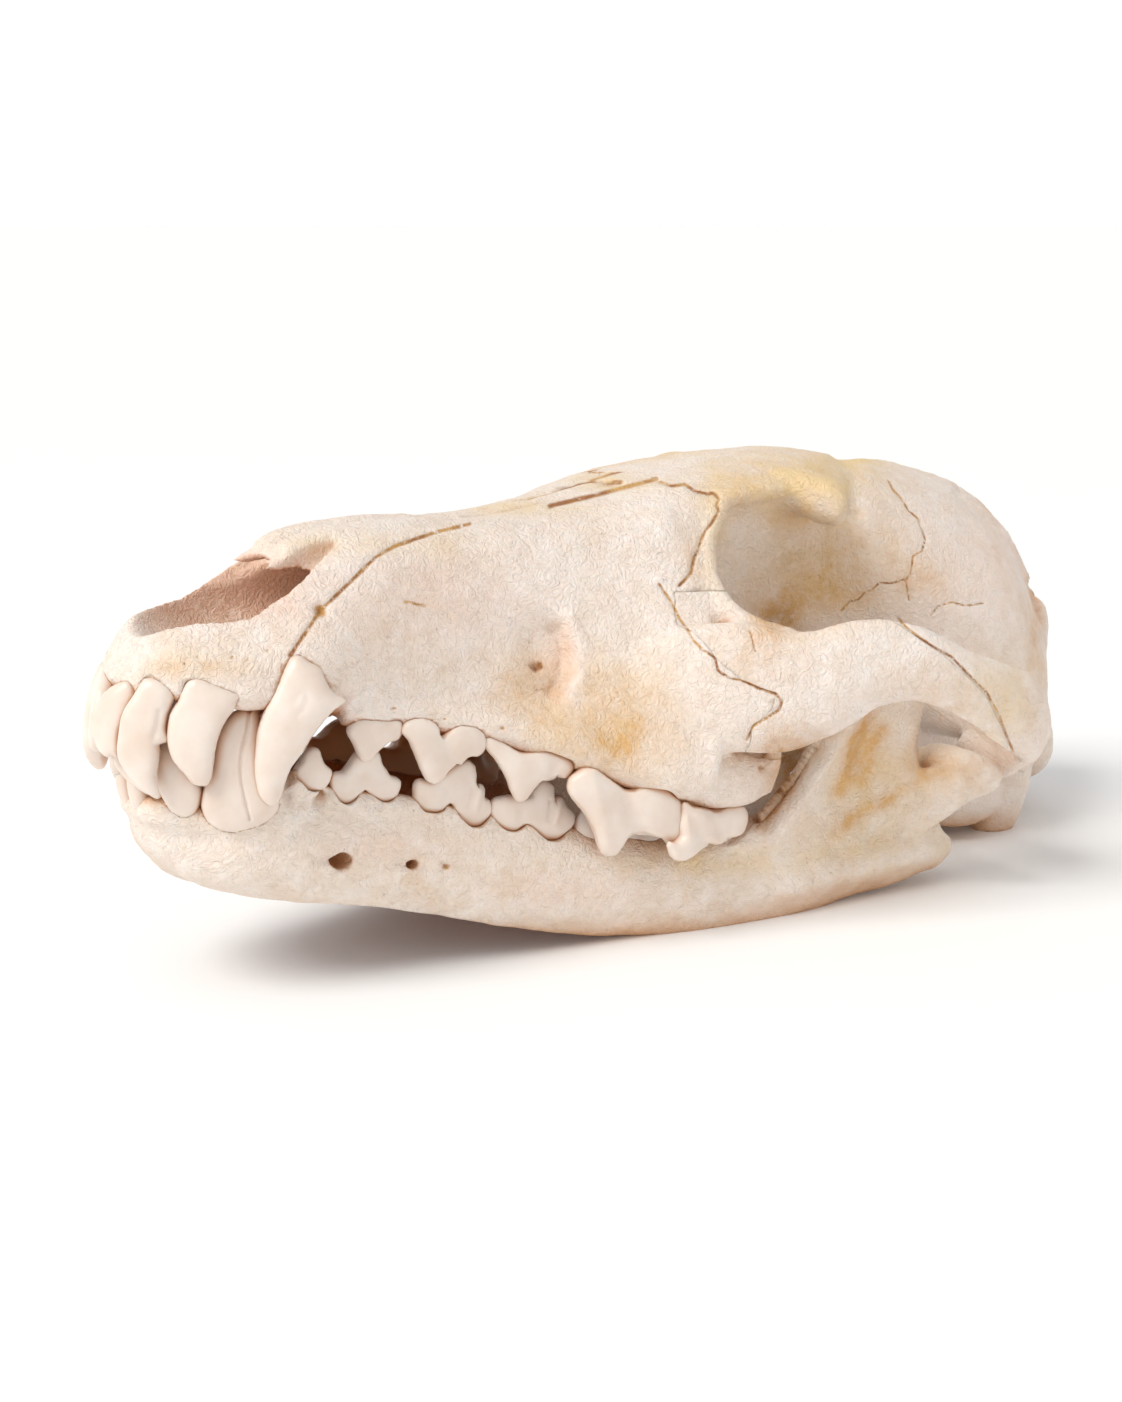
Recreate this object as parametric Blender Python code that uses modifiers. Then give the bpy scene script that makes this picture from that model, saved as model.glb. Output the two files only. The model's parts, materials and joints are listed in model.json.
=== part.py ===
"""A wolf's skull with its jaws closed, life size, lying on the floor as it would rest.

Sizes are millimetres in the skull's own frame: x is the side, with the animal's left at +x, y runs
from the front of the upper jaw to the back of the head, and z is up from the upper gum line. An
empty carries the five bones and tips the snout up until the lower jaw and the bony processes below
the ears stand on the floor.
"""

import math

import bmesh
import bpy
import numpy as np
from mathutils import Matrix, Vector

MM = 0.001
PITCH = math.radians(11.0)  # the snout points this much up as the skull rests
PIVOT = Vector((0.0, 130.0, 20.0))  # the point the skull is tipped about
FLOOR_DROP = 55.0  # from the pivot down to the floor
GAP = 0.3  # clearance between bones that touch

# The main body of the upper skull, as half sections from snout to nape. Each row holds y, the top
# on the midline, then (x, z) of the brow edge, the side, the waist and the lower edge, and the
# bottom on the midline.
CORE = (
    (-1.5, 10.0, (4.5, 9.8), (7.0, 8.6), (7.8, 6.6), (5.0, 4.6), 4.4),
    (2.0, 15.2, (7.0, 14.6), (10.5, 12.0), (12.0, 8.6), (9.0, 5.2), 4.6),
    (10.0, 20.5, (9.6, 19.8), (14.5, 14.8), (17.0, 9.4), (13.5, 5.0), 4.2),
    (20.0, 27.6, (10.2, 26.6), (16.6, 19.2), (21.4, 10.6), (17.0, 4.2), 3.5),
    (28.0, 33.3, (10.2, 31.6), (17.2, 23.5), (23.6, 11.0), (19.0, 4.0), 3.5),
    (40.0, 38.0, (10.5, 36.3), (17.5, 27.0), (22.8, 11.0), (19.0, 3.0), 3.5),
    (55.0, 41.3, (11.5, 39.8), (18.5, 30.0), (23.0, 11.0), (20.5, 3.0), 4.0),
    (70.0, 44.0, (12.5, 42.7), (20.0, 33.0), (25.6, 10.0), (24.0, 1.0), 4.0),
    (85.0, 47.6, (14.0, 46.0), (22.0, 37.0), (31.0, 9.5), (30.0, -2.0), 4.0),
    (98.0, 51.8, (16.0, 49.8), (25.0, 41.0), (38.0, 8.5), (36.5, -5.0), 3.5),
    (109.0, 55.6, (18.5, 54.0), (28.5, 45.0), (44.0, 10.5), (40.0, -7.5), 2.5),
    (116.0, 58.0, (20.5, 56.2), (31.0, 42.0), (44.5, 14.0), (39.0, -7.5), 1.0),
    (121.5, 60.0, (21.8, 57.8), (24.0, 50.0), (21.0, 24.0), (24.0, -7.0), 0.0),
    (132.0, 63.8, (24.0, 60.6), (21.0, 50.0), (16.5, 24.0), (16.0, -6.0), -2.0),
    (145.0, 67.6, (22.0, 63.0), (19.0, 50.0), (15.5, 26.0), (13.0, -6.0), -3.0),
    (158.0, 70.2, (17.5, 66.0), (19.0, 52.0), (17.0, 30.0), (13.0, -6.0), -3.5),
    (170.0, 71.0, (15.5, 66.4), (22.0, 52.0), (21.0, 30.0), (13.0, -4.0), -4.0),
    (184.0, 71.0, (15.5, 65.4), (27.0, 48.0), (27.0, 26.0), (16.0, -2.0), -4.5),
    (200.0, 70.8, (16.5, 64.2), (32.0, 43.0), (32.5, 22.0), (20.0, -4.0), -5.0),
    (215.0, 69.6, (16.5, 61.8), (33.3, 40.0), (34.0, 20.0), (23.0, -5.0), -6.0),
    (229.0, 66.6, (15.5, 57.6), (29.5, 37.0), (32.5, 18.0), (25.0, -4.0), -6.0),
    (240.0, 60.6, (13.0, 50.4), (24.0, 33.0), (27.5, 17.0), (22.0, -2.0), -4.0),
    (249.0, 53.4, (10.5, 42.0), (17.0, 29.0), (21.0, 16.0), (17.0, 2.0), -1.0),
    (257.0, 44.0, (6.5, 34.0), (10.5, 25.0), (13.0, 15.5), (10.5, 7.0), 4.0),
)

# Swept bars of the upper skull on one side: each row is the middle (x, y, z), then half the
# thickness across and half the height.
ARCH = (
    ((30.0, 96.0, 12.0), 3.0, 8.0),
    ((38.0, 108.0, 15.0), 5.5, 13.5),
    ((45.0, 117.0, 17.8), 5.6, 14.0),
    ((50.5, 124.0, 18.4), 4.6, 13.2),
    ((55.0, 131.5, 21.4), 4.0, 11.6),
    ((59.0, 140.0, 26.6), 3.7, 10.0),
    ((62.6, 149.0, 28.2), 3.5, 8.4),
    ((65.6, 159.0, 26.4), 3.4, 7.2),
    ((67.0, 169.0, 24.0), 3.3, 7.8),
    ((66.4, 180.0, 20.8), 3.4, 8.8),
    ((63.0, 190.0, 17.4), 3.8, 8.4),
    ((57.5, 198.0, 14.4), 4.4, 7.2),
    ((49.0, 201.0, 13.4), 5.0, 6.0),
    ((38.0, 201.0, 14.6), 6.2, 6.2),
    ((26.0, 200.0, 17.0), 8.0, 9.0),
)
TUBER = (
    ((27.0, 90.0, 3.0), 2.5, 3.0),
    ((35.5, 106.0, 0.0), 5.5, 7.0),
    ((39.0, 117.0, -1.8), 5.0, 6.6),
    ((37.5, 127.0, -2.6), 5.4, 5.4),
    ((33.0, 136.0, -2.4), 4.5, 4.0),
)
BROW = (
    ((12.0, 144.0, 59.6), 9.0, 6.0),
    ((19.0, 146.5, 59.4), 9.0, 4.8),
    ((25.5, 149.5, 58.6), 6.6, 3.6),
    ((30.5, 152.5, 57.2), 2.4, 1.8),
)
SAGITTAL = (
    ((0.0, 176.0, 69.0), 2.2, 2.4),
    ((0.0, 205.0, 68.8), 1.8, 3.0),
    ((0.0, 228.0, 65.0), 1.7, 3.4),
    ((0.0, 244.0, 56.5), 1.8, 4.0),
    ((0.0, 256.0, 45.5), 2.6, 4.0),
)
NUCHAL = (
    ((0.0, 257.5, 43.5), 3.0, 2.6),
    ((9.0, 253.5, 40.5), 2.4, 2.0),
    ((18.0, 245.5, 33.0), 2.2, 2.0),
    ((25.0, 236.5, 24.0), 2.4, 2.0),
    ((31.0, 230.0, 12.0), 3.4, 3.0),
    ((33.0, 227.0, 1.0), 3.0, 2.8),
)
FOOT = (  # the bony process below each ear, on which the back of the skull stands
    ((24.0, 235.0, 5.0), 4.6, 5.0),
    ((21.0, 237.0, -5.0), 3.6, 4.6),
    ((19.0, 239.0, -11.0), 3.0, 3.8),
    ((18.5, 240.0, -17.0), 2.4, 3.0),
)
PTERYGOID = (
    ((15.0, 118.0, -4.0), 3.0, 6.0),
    ((13.0, 135.0, -8.0), 2.6, 9.0),
    ((12.0, 152.0, -9.5), 2.4, 9.0),
    ((12.0, 166.0, -11.0), 2.2, 6.5),
    ((11.5, 176.0, -13.0), 1.8, 2.8),
)
BALLS = (  # middle and radii: ear capsules and the two knobs the neck turned on
    ((16.5, 221.0, -5.0), (10.0, 14.0, 9.0)),
    ((11.5, 255.0, 4.5), (7.5, 7.5, 9.0)),
)
SOCKET_LIP = (
    ((40.0, 198.6, 9.0), 4.5, 4.0),
    ((50.0, 199.0, 6.6), 2.8, 4.8),
    ((58.0, 197.0, 9.0), 2.4, 3.0),
)

# The nose opening and the passage behind it, the notch at the nape and the hole under each eye.
NOSE = (
    ((0.0, -10.0, 24.0), 7.0, 9.0),
    ((0.0, 4.0, 22.0), 7.8, 9.5),
    ((0.0, 16.0, 21.0), 9.3, 9.8),
    ((0.0, 30.0, 21.5), 10.5, 10.0),
    ((0.0, 50.0, 24.0), 10.0, 10.5),
    ((0.0, 72.0, 27.0), 7.0, 9.0),
)
NAPE_HOLE = (
    ((0.0, 280.0, 13.0), 11.0, 8.5),
    ((0.0, 258.0, 12.0), 11.5, 9.0),
    ((0.0, 240.0, 12.0), 9.0, 8.0),
)
CHEEK_HOLE = (
    ((34.0, 76.0, 11.5), 3.6, 6.0),
    ((29.0, 85.0, 14.0), 2.8, 5.0),
    ((26.0, 98.0, 17.0), 1.8, 3.0),
)

# One half of the lower jaw: the body, the upright plate and the joint.
JAW = (
    ((2.4, 7.6, -18.6), 2.4, 1.8),
    ((3.8, 10.8, -22.2), 4.2, 4.8),
    ((5.8, 16.2, -25.4), 7.0, 7.4),
    ((10.2, 24.6, -26.0), 9.0, 9.6),
    ((15.0, 33.5, -24.3), 6.8, 11.4),
    ((18.4, 46.0, -24.3), 5.2, 11.3),
    ((21.6, 62.0, -25.4), 5.0, 11.2),
    ((25.2, 80.0, -27.4), 5.2, 11.2),
    ((28.4, 98.0, -28.2), 5.4, 11.8),
    ((31.6, 115.0, -28.0), 5.4, 11.6),
    ((35.0, 130.0, -26.4), 5.2, 12.4),
    ((38.2, 145.0, -22.0), 5.0, 13.2),
    ((40.4, 160.0, -17.0), 4.6, 12.9),
    ((42.0, 173.0, -15.5), 4.2, 11.0),
    ((43.0, 184.0, -15.0), 3.6, 8.2),
    ((43.4, 190.5, -16.0), 2.6, 4.6),
    ((43.4, 194.5, -15.4), 1.4, 2.0),
)
PLATE = (  # z, front y, rear y, x and half thickness
    (-18.0, 128.0, 186.0, 38.5, 4.0),
    (-8.0, 137.0, 186.0, 40.5, 3.8),
    (0.0, 142.0, 182.0, 41.8, 3.4),
    (8.0, 147.5, 178.0, 42.8, 2.8),
    (15.0, 154.0, 177.0, 43.6, 2.3),
    (22.0, 162.0, 177.5, 44.2, 2.0),
    (27.0, 167.0, 178.0, 44.6, 1.8),
    (29.5, 170.5, 176.5, 44.8, 1.4),
)
KNUCKLE = (
    ((36.5, 186.0, 2.6), 2.0, 2.2),
    ((40.0, 186.0, 3.2), 3.6, 4.2),
    ((50.0, 186.6, 3.8), 4.2, 4.8),
    ((57.0, 187.4, 3.2), 3.6, 4.0),
    ((60.0, 188.0, 2.8), 1.8, 2.2),
)
CHEWING_HOLLOW = ((51.5, 160.0, -3.0), (8.5, 19.0, 17.0))
CHIN_HOLES = (((18.0, 40.0, -26.0), 3.6), ((21.0, 55.5, -25.6), 2.0))

# The sutures that part each cheek bone from the skull, as (y, z) points, and how far in they reach.
CHEEK_FRONT = (
    (130.0, 37.6), (117.0, 37.2), (107.0, 35.6), (106.4, 29.4), (110.0, 23.4), (114.6, 19.8),
    (120.6, 18.4), (120.4, 15.0), (118.0, 10.6), (119.4, 5.0), (127.0, 3.2), (142.0, 5.0),
)
CHEEK_FRONT_X = 27.0
CHEEK_REAR = (
    (139.0, 44.0), (143.0, 36.8), (152.0, 32.2), (161.0, 27.0), (169.5, 21.6), (177.0, 15.2),
    (184.0, 9.6), (192.0, 2.0),
)
CHEEK_REAR_X = 46.0

# Incisors and canines of one side. Each has the way its outer face looks, then its middle line
# from the root to the tip with half the width and half the depth.
UPPER_FANGS = (
    ((0.2, -1.0, 0.1), (
        ((2.9, 4.0, 11.0), 1.6, 2.0), ((3.2, -1.4, 4.4), 2.0, 2.4), ((3.3, -2.8, 0.1), 3.0, 2.8),
        ((3.4, -3.3, -4.8), 2.9, 2.4), ((3.4, -3.1, -8.8), 1.7, 1.5), ((3.4, -3.0, -10.4), 0.5, 0.5),
    )),
    ((0.65, -0.76, 0.1), (
        ((7.2, 8.0, 12.0), 1.8, 2.4), ((8.9, 1.6, 6.0), 2.2, 2.8), ((9.4, 0.4, 1.6), 4.1, 3.4),
        ((9.6, -0.3, -4.0), 4.1, 3.2), ((9.8, 0.0, -10.0), 3.1, 2.5), ((9.9, 1.8, -14.0), 1.9, 1.6),
        ((10.0, 2.6, -15.6), 0.6, 0.6),
    )),
    ((0.88, -0.48, 0.1), (
        ((12.0, 16.0, 14.0), 2.4, 3.0), ((13.9, 10.0, 7.0), 3.4, 3.4), ((14.6, 9.6, 3.4), 5.4, 4.0),
        ((15.9, 7.6, -1.6), 4.6, 4.0), ((16.5, 7.7, -5.6), 4.1, 3.4), ((16.6, 9.2, -9.6), 2.9, 2.4),
        ((16.6, 10.5, -12.6), 0.8, 0.8),
    )),
    ((1.0, -0.2, 0.0), (
        ((17.0, 37.0, 22.0), 3.4, 3.6), ((20.6, 29.6, 13.6), 4.2, 4.0), ((22.2, 27.9, 7.0), 7.4, 4.6),
        ((23.6, 23.9, 0.2), 5.4, 4.0), ((24.5, 21.7, -5.8), 4.0, 3.4), ((24.7, 21.2, -10.6), 3.0, 2.6),
        ((24.5, 21.6, -14.6), 0.7, 0.7),
    )),
)
LOWER_FANGS = (
    ((0.2, -1.0, 0.0), (
        ((2.4, 9.0, -23.0), 1.6, 1.8), ((2.5, 5.0, -17.5), 2.0, 2.2), ((2.6, 3.8, -13.0), 2.2, 2.0),
        ((2.6, 3.4, -10.0), 1.4, 1.2),
    )),
    ((0.6, -0.8, 0.0), (
        ((5.4, 9.8, -24.0), 1.8, 2.0), ((6.2, 6.2, -18.5), 2.3, 2.4), ((6.7, 5.1, -13.5), 2.6, 2.3),
        ((6.8, 4.9, -9.0), 1.3, 1.2),
    )),
    ((0.85, -0.5, 0.0), (
        ((8.6, 16.0, -28.0), 1.8, 2.4), ((10.8, 11.8, -19.6), 2.6, 2.8), ((11.3, 11.4, -14.0), 3.8, 2.9),
        ((11.0, 9.6, -8.6), 2.2, 1.9), ((10.9, 8.9, -6.4), 0.7, 0.7),
    )),
    ((1.0, -0.2, 0.0), (
        ((11.6, 33.0, -30.0), 4.0, 4.0), ((14.6, 23.4, -21.0), 6.0, 4.6), ((15.8, 21.0, -15.6), 7.6, 4.4),
        ((16.6, 17.8, -8.6), 5.4, 3.9), ((17.0, 17.3, -2.6), 4.4, 3.3), ((17.1, 18.0, 1.0), 2.8, 2.3),
        ((17.1, 18.3, 3.1), 0.8, 0.8),
    )),
)
# Cheek teeth of one side. Each has the front and rear ends (x, y, z) at the gum, half the
# thickness, and the cutting edge as (place along the tooth, height).
UPPER_CROWNS = (
    ((21.0, 38.8, 2.8), (22.2, 50.4, 2.8), 2.8,
     ((0.0, 3.4), (0.3, 8.6), (0.58, 5.9), (0.83, 4.4), (1.0, 2.2))),
    ((23.6, 50.8, 1.4), (26.4, 67.4, 1.4), 3.2,
     ((0.0, 1.3), (0.13, 4.5), (0.37, 11.4), (0.58, 7.6), (0.72, 7.0), (0.84, 5.6), (1.0, 3.4))),
    ((27.0, 68.4, 1.6), (31.6, 86.8, -2.8), 3.4,
     ((0.0, 1.8), (0.2, 6.2), (0.39, 11.4), (0.6, 6.4), (0.7, 5.9), (0.88, 4.0), (1.0, 2.2))),
    ((34.0, 87.8, -2.4), (40.0, 110.6, -8.0), 3.6,
     ((0.0, 3.6), (0.14, 9.9), (0.32, 16.6), (0.54, 10.6), (0.7, 10.1), (0.9, 11.2), (1.0, 7.0))),
    ((41.4, 111.6, -8.0), (40.6, 126.0, -8.4), 4.2,
     ((0.0, 9.0), (0.1, 11.6), (0.4, 8.5), (0.55, 8.3), (0.85, 5.9), (1.0, 3.0))),
    ((37.6, 127.0, -7.2), (36.2, 134.0, -5.6), 3.6, ((0.0, 3.4), (0.3, 5.4), (0.7, 4.0), (1.0, 1.6))),
)
LOWER_CROWNS = (
    ((17.8, 30.4, -12.0), (18.8, 37.4, -12.0), 2.4, ((0.0, 2.0), (0.45, 8.0), (1.0, 3.4))),
    ((18.8, 38.4, -12.4), (20.4, 52.4, -13.2), 2.6,
     ((0.0, 3.4), (0.27, 6.3), (0.46, 9.2), (0.68, 7.0), (0.86, 4.2), (1.0, 2.4))),
    ((21.2, 55.6, -13.8), (24.0, 73.2, -16.4), 2.9,
     ((0.0, 2.6), (0.22, 5.2), (0.48, 10.0), (0.62, 12.0), (0.82, 6.6), (1.0, 2.6))),
    ((24.4, 74.0, -16.0), (27.4, 92.2, -17.2), 3.0,
     ((0.0, 3.4), (0.26, 5.9), (0.56, 10.4), (0.68, 10.6), (0.84, 6.7), (1.0, 3.6))),
    ((27.6, 93.2, -17.4), (31.0, 116.0, -17.4), 2.9,
     ((0.0, 4.0), (0.2, 8.8), (0.36, 7.8), (0.52, 11.0), (0.76, 5.6), (1.0, 4.0))),
    ((31.8, 116.8, -17.2), (33.6, 126.2, -15.6), 2.8, ((0.0, 2.4), (0.3, 4.8), (0.7, 3.6), (1.0, 1.6))),
    ((34.2, 126.8, -15.4), (35.4, 131.8, -13.6), 2.2, ((0.0, 1.6), (0.4, 2.8), (1.0, 1.0))),
)

SMALLEST = 0.8  # no part of a crown is lower than this above the gum
ROOT = 5.0  # how deep a cheek tooth is sunk in its bone
UPPER_FACES = 5000  # triangles of the upper skull before its teeth are joined on
JAW_FACES = 1620
VOXEL = 1.3
BONE_LOOK = {  # colour and roughness of each kind of bone
    "cranium_bone": ((0.82, 0.73, 0.62), 0.62),
    "cheek_bone": ((0.84, 0.75, 0.64), 0.60),
    "jaw_bone": ((0.83, 0.74, 0.63), 0.62),
}


def through(keys, values, at):
    """Values on a smooth curve through the given ones, at the places asked for."""
    keys = np.asarray(keys, float)
    values = np.asarray(values, float).reshape(len(keys), -1)
    slope = np.gradient(values, keys, axis=0)
    found = np.clip(np.searchsorted(keys, at, side="right") - 1, 0, len(keys) - 2)
    span = (keys[found + 1] - keys[found])[:, None]
    t = (np.asarray(at, float)[:, None] - keys[found][:, None]) / span
    start = values[found] * (1 + 2 * t) + slope[found] * span * t
    end = values[found + 1] * (3 - 2 * t) - slope[found + 1] * span * (1 - t)
    return start * (1 - t) ** 2 + end * t**2


def finish(name, form):
    """A mesh object in the workshop, from a bmesh with its faces turned outward."""
    bmesh.ops.recalc_face_normals(form, faces=form.faces)
    mesh = bpy.data.meshes.new(name)
    form.to_mesh(mesh)
    form.free()
    made = bpy.data.objects.new(name, mesh)
    made.hide_render = True
    made.display_type = "WIRE"
    workshop.objects.link(made)
    return made


def loft(name, rings):
    """A closed mesh through rings of points, with a point at the middle of each end."""
    rings = np.asarray(rings, float)
    sides = rings.shape[1]
    form = bmesh.new()
    grid = [[form.verts.new(point) for point in ring] for ring in rings]
    for first, second in zip(grid, grid[1:]):
        for i in range(sides):
            j = (i + 1) % sides
            form.faces.new((first[i], first[j], second[j], second[i]))
    for ring, row in ((rings[0], grid[0]), (rings[-1], grid[-1])):
        middle = form.verts.new(ring.mean(axis=0))
        for i in range(sides):
            form.faces.new((middle, row[i], row[(i + 1) % sides]))
    return finish(name, form)


def core(rows, step=3.0, sides=40):
    """The closed body of the upper skull: smooth rings through the half sections."""
    y = np.array([row[0] for row in rows])
    half = np.array([[(0, row[1]), *row[2:6], (0, row[6])] for row in rows], float)
    places = np.linspace(y[0], y[-1], int((y[-1] - y[0]) / step))
    half = through(y, half.reshape(len(rows), -1), places).reshape(len(places), -1, 2)
    rings = []
    for place, side in zip(places, half):
        other = side[-2:0:-1] * (-1, 1)
        outline = np.vstack([other[-1:], side, other, side[:2]])
        knots = np.arange(len(outline)) - 1.0
        xz = through(knots, outline, np.linspace(0, len(outline) - 3, sides, endpoint=False))
        rings.append(np.column_stack([xz[:, 0], np.full(sides, place), xz[:, 1]]))
    return loft("core", rings)


def bar(rows, side=1, grow=0.0, sides=16, step=3.0, lengthwise=(0, 0, 1)):
    """A smooth oval bar along the middle line of the rows, its second half size along lengthwise."""
    middle = np.array([row[0] for row in rows], float)
    half = np.array([row[1:3] for row in rows], float) + grow
    far = np.r_[0, np.cumsum(np.linalg.norm(np.diff(middle, axis=0), axis=1))]
    at = np.linspace(0, far[-1], max(4, int(far[-1] / step) + 1))
    middle = through(far, middle, at)
    half = through(far, half, at)
    ahead = np.gradient(middle, at, axis=0)
    turn = np.arange(sides) * math.tau / sides
    rings = []
    for point, size, way in zip(middle, half, ahead):
        across = np.cross(way, lengthwise)
        across /= np.linalg.norm(across)
        up = np.cross(across, way)
        up /= np.linalg.norm(up)
        ring = point + np.outer(np.cos(turn) * size[0], across) + np.outer(np.sin(turn) * size[1], up)
        rings.append(ring * (side, 1, 1))
    return loft("bar", rings)


def ball(middle, radii, side=1):
    form = bmesh.new()
    place = Matrix.Translation((middle[0] * side, *middle[1:])) @ Matrix.Diagonal((*radii, 1))
    bmesh.ops.create_icosphere(form, subdivisions=3, radius=1.0, matrix=place)
    return finish("ball", form)


def block(low, high):
    """A box between two corners."""
    low, high = Vector(low), Vector(high)
    form = bmesh.new()
    place = Matrix.Translation((low + high) / 2) @ Matrix.Diagonal((*(high - low), 1))
    bmesh.ops.create_cube(form, size=1.0, matrix=place)
    return finish("block", form)


def upright(rows, side=1, sides=20, step=3.0):
    """The upright plate of the lower jaw, as flat ovals one above the other."""
    rows = np.array(rows, float)
    at = np.linspace(rows[0, 0], rows[-1, 0], int((rows[-1, 0] - rows[0, 0]) / step))
    turn = np.arange(sides) * math.tau / sides
    flat = np.sign(np.sin(turn)) * abs(np.sin(turn)) ** 0.6
    rings = []
    for z, (front, rear, x, thick) in zip(at, through(rows[:, 0], rows[:, 1:], at)):
        y = (front + rear) / 2 + np.cos(turn) * (rear - front) / 2
        rings.append(np.column_stack([(x + flat * thick) * side, y, np.full(sides, z)]))
    return loft("plate", rings)


def crown(row, up, side=1, sides=8, steps=7):
    """A cheek tooth with its root: ovals set along the jaw, as tall as the cutting edge there."""
    front, rear, thick, edge = row
    front, rear = np.array(front, float), np.array(rear, float)
    ends = 0.03
    inner = [place for place, _ in edge[1:-1]]
    at = np.unique(np.r_[np.linspace(ends, 1 - ends, steps), inner])
    height = through([place for place, _ in edge], [tall for _, tall in edge], at)[:, 0]
    across = np.cross(rear - front, (0, 0, 1))
    across /= np.linalg.norm(across)
    turn = (np.arange(sides) + 0.5) * math.tau / sides
    rise = np.sin(turn) / math.cos(math.pi / sides)
    narrow = np.where(rise > 0, 1 - 0.35 * np.sin(turn), 1.0)
    rings = []
    for t, tall in zip(at, np.maximum(height, SMALLEST)):
        swell = max((1 - abs(2 * t - 1) ** 3.0) ** 0.5, 0.35)
        ring = front + (rear - front) * t + np.outer(np.cos(turn) * narrow * thick * swell, across)
        ring[:, 2] += ((tall - ROOT) / 2 + rise * (tall + ROOT) / 2) * up
        rings.append(ring * (side, 1, 1))
    return loft("crown", rings)


def ribbon(points, thick, x_from, x_to):
    """A thin upright cutter that follows (y, z) points, from one x to another."""
    points = np.array(points, float)
    ahead = np.gradient(points, axis=0)
    normal = np.column_stack([-ahead[:, 1], ahead[:, 0]])
    normal *= thick / 2 / np.linalg.norm(normal, axis=1)[:, None]
    rings = []
    for middle, off in zip(points, normal):
        corners = (middle + off, middle - off, middle - off, middle + off)
        x = (x_from, x_from, x_to, x_to)
        rings.append([(place, *corner) for place, corner in zip(x, corners)])
    return loft("ribbon", rings)


def settled(made):
    """The object with its modifiers applied."""
    graph = bpy.context.evaluated_depsgraph_get()
    mesh = bpy.data.meshes.new_from_object(made.evaluated_get(graph))
    made.modifiers.clear()
    made.data = mesh
    return made


def merged(made, others, operation="DIFFERENCE"):
    """One Boolean of the object with the others, applied, and the others removed."""
    helpers = bpy.data.collections.new("helpers")
    workshop.children.link(helpers)
    for other in others:
        workshop.objects.unlink(other)
        helpers.objects.link(other)
    step = made.modifiers.new("merge", "BOOLEAN")
    step.operation = operation
    step.solver = "MANIFOLD"
    step.operand_type = "COLLECTION"
    step.collection = helpers
    settled(made)
    for other in others:
        bpy.data.objects.remove(other)
    bpy.data.collections.remove(helpers)
    return made


def grown_together(pieces, hollows, rounds, triangles):
    """The pieces made one skin, hollowed, smoothed as bone is and thinned to few faces."""
    form = bmesh.new()
    for piece in pieces:
        form.from_mesh(piece.data)
        bpy.data.objects.remove(piece)
    made = finish("bone", form)
    for hollowed in (False, True):
        if hollowed:
            merged(made, hollows)
        skin = made.modifiers.new("skin", "REMESH")
        skin.mode = "VOXEL"
        skin.voxel_size = VOXEL
        settled(made)
    soft = made.modifiers.new("soft", "SMOOTH")
    soft.factor = 0.5
    soft.iterations = rounds
    thin = made.modifiers.new("thin", "DECIMATE")
    thin.ratio = triangles / (2 * len(made.data.polygons))
    return settled(made)


def parts_of(made):
    """The closed surfaces of an object as separate objects, the largest first."""
    form = bmesh.new()
    form.from_mesh(made.data)
    left = set(form.verts)
    groups = []
    while left:
        reach = [left.pop()]
        group = set(reach)
        while reach:
            for edge in reach.pop().link_edges:
                for other in left.intersection(edge.verts):
                    left.remove(other)
                    group.add(other)
                    reach.append(other)
        groups.append({vert.index for vert in group})
    form.free()
    found = []
    for group in sorted(groups, key=len, reverse=True):
        piece = bmesh.new()
        piece.from_mesh(made.data)
        spare = [vert for vert in piece.verts if vert.index not in group]
        bmesh.ops.delete(piece, geom=spare, context="VERTS")
        found.append(finish(made.name, piece))
    bpy.data.objects.remove(made)
    return found


def largest(made):
    """The object with only its largest closed surface kept."""
    first, *scraps = parts_of(made)
    for scrap in scraps:
        bpy.data.objects.remove(scrap)
    return first


def floor_block():
    """A block whose top is the floor, in the skull's own frame."""
    form = bmesh.new()
    wide, deep = 400.0, 60.0
    place = (
        Matrix.Translation(PIVOT)
        @ Matrix.Rotation(PITCH, 4, "X")
        @ Matrix.Translation((0, 0, -FLOOR_DROP - deep / 2))
        @ Matrix.Diagonal((wide, wide, deep, 1))
    )
    bmesh.ops.create_cube(form, size=1.0, matrix=place)
    return finish("floor", form)


def upper_skull():
    """The upper skull and the two cheek bones, parted along their sutures."""
    pieces = [core(CORE), bar(SAGITTAL)]
    hollows = [bar(NOSE), bar(NAPE_HOLE)]
    cuts = []
    for side in (1, -1):
        pieces += [bar(rows, side) for rows in (ARCH, TUBER, BROW, NUCHAL, PTERYGOID, SOCKET_LIP)]
        pieces.append(bar(FOOT, side, lengthwise=(0, 1, 0)))
        pieces += [ball(middle, radii, side) for middle, radii in BALLS]
        hollows.append(bar(CHEEK_HOLE, side))
        low, high = sorted((CHEEK_FRONT_X * side, (CHEEK_FRONT_X + GAP) * side))
        cuts.append(block((low, 105.0, 3.4), (high, 128.0, 37.8)))
        cuts.append(ribbon(CHEEK_FRONT, GAP, CHEEK_FRONT_X * side, 85.0 * side))
        cuts.append(ribbon(CHEEK_REAR, GAP, CHEEK_REAR_X * side, 85.0 * side))
        cuts.append(bar(KNUCKLE, side, grow=0.5))
    whole = grown_together(pieces, hollows, 7, UPPER_FACES)
    upper, *cheeks = parts_of(merged(whole, cuts))
    for scrap in cheeks[2:]:
        bpy.data.objects.remove(scrap)
    right, left = sorted(cheeks[:2], key=lambda made: made.data.vertices[0].co.x)
    return upper, left, right


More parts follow.
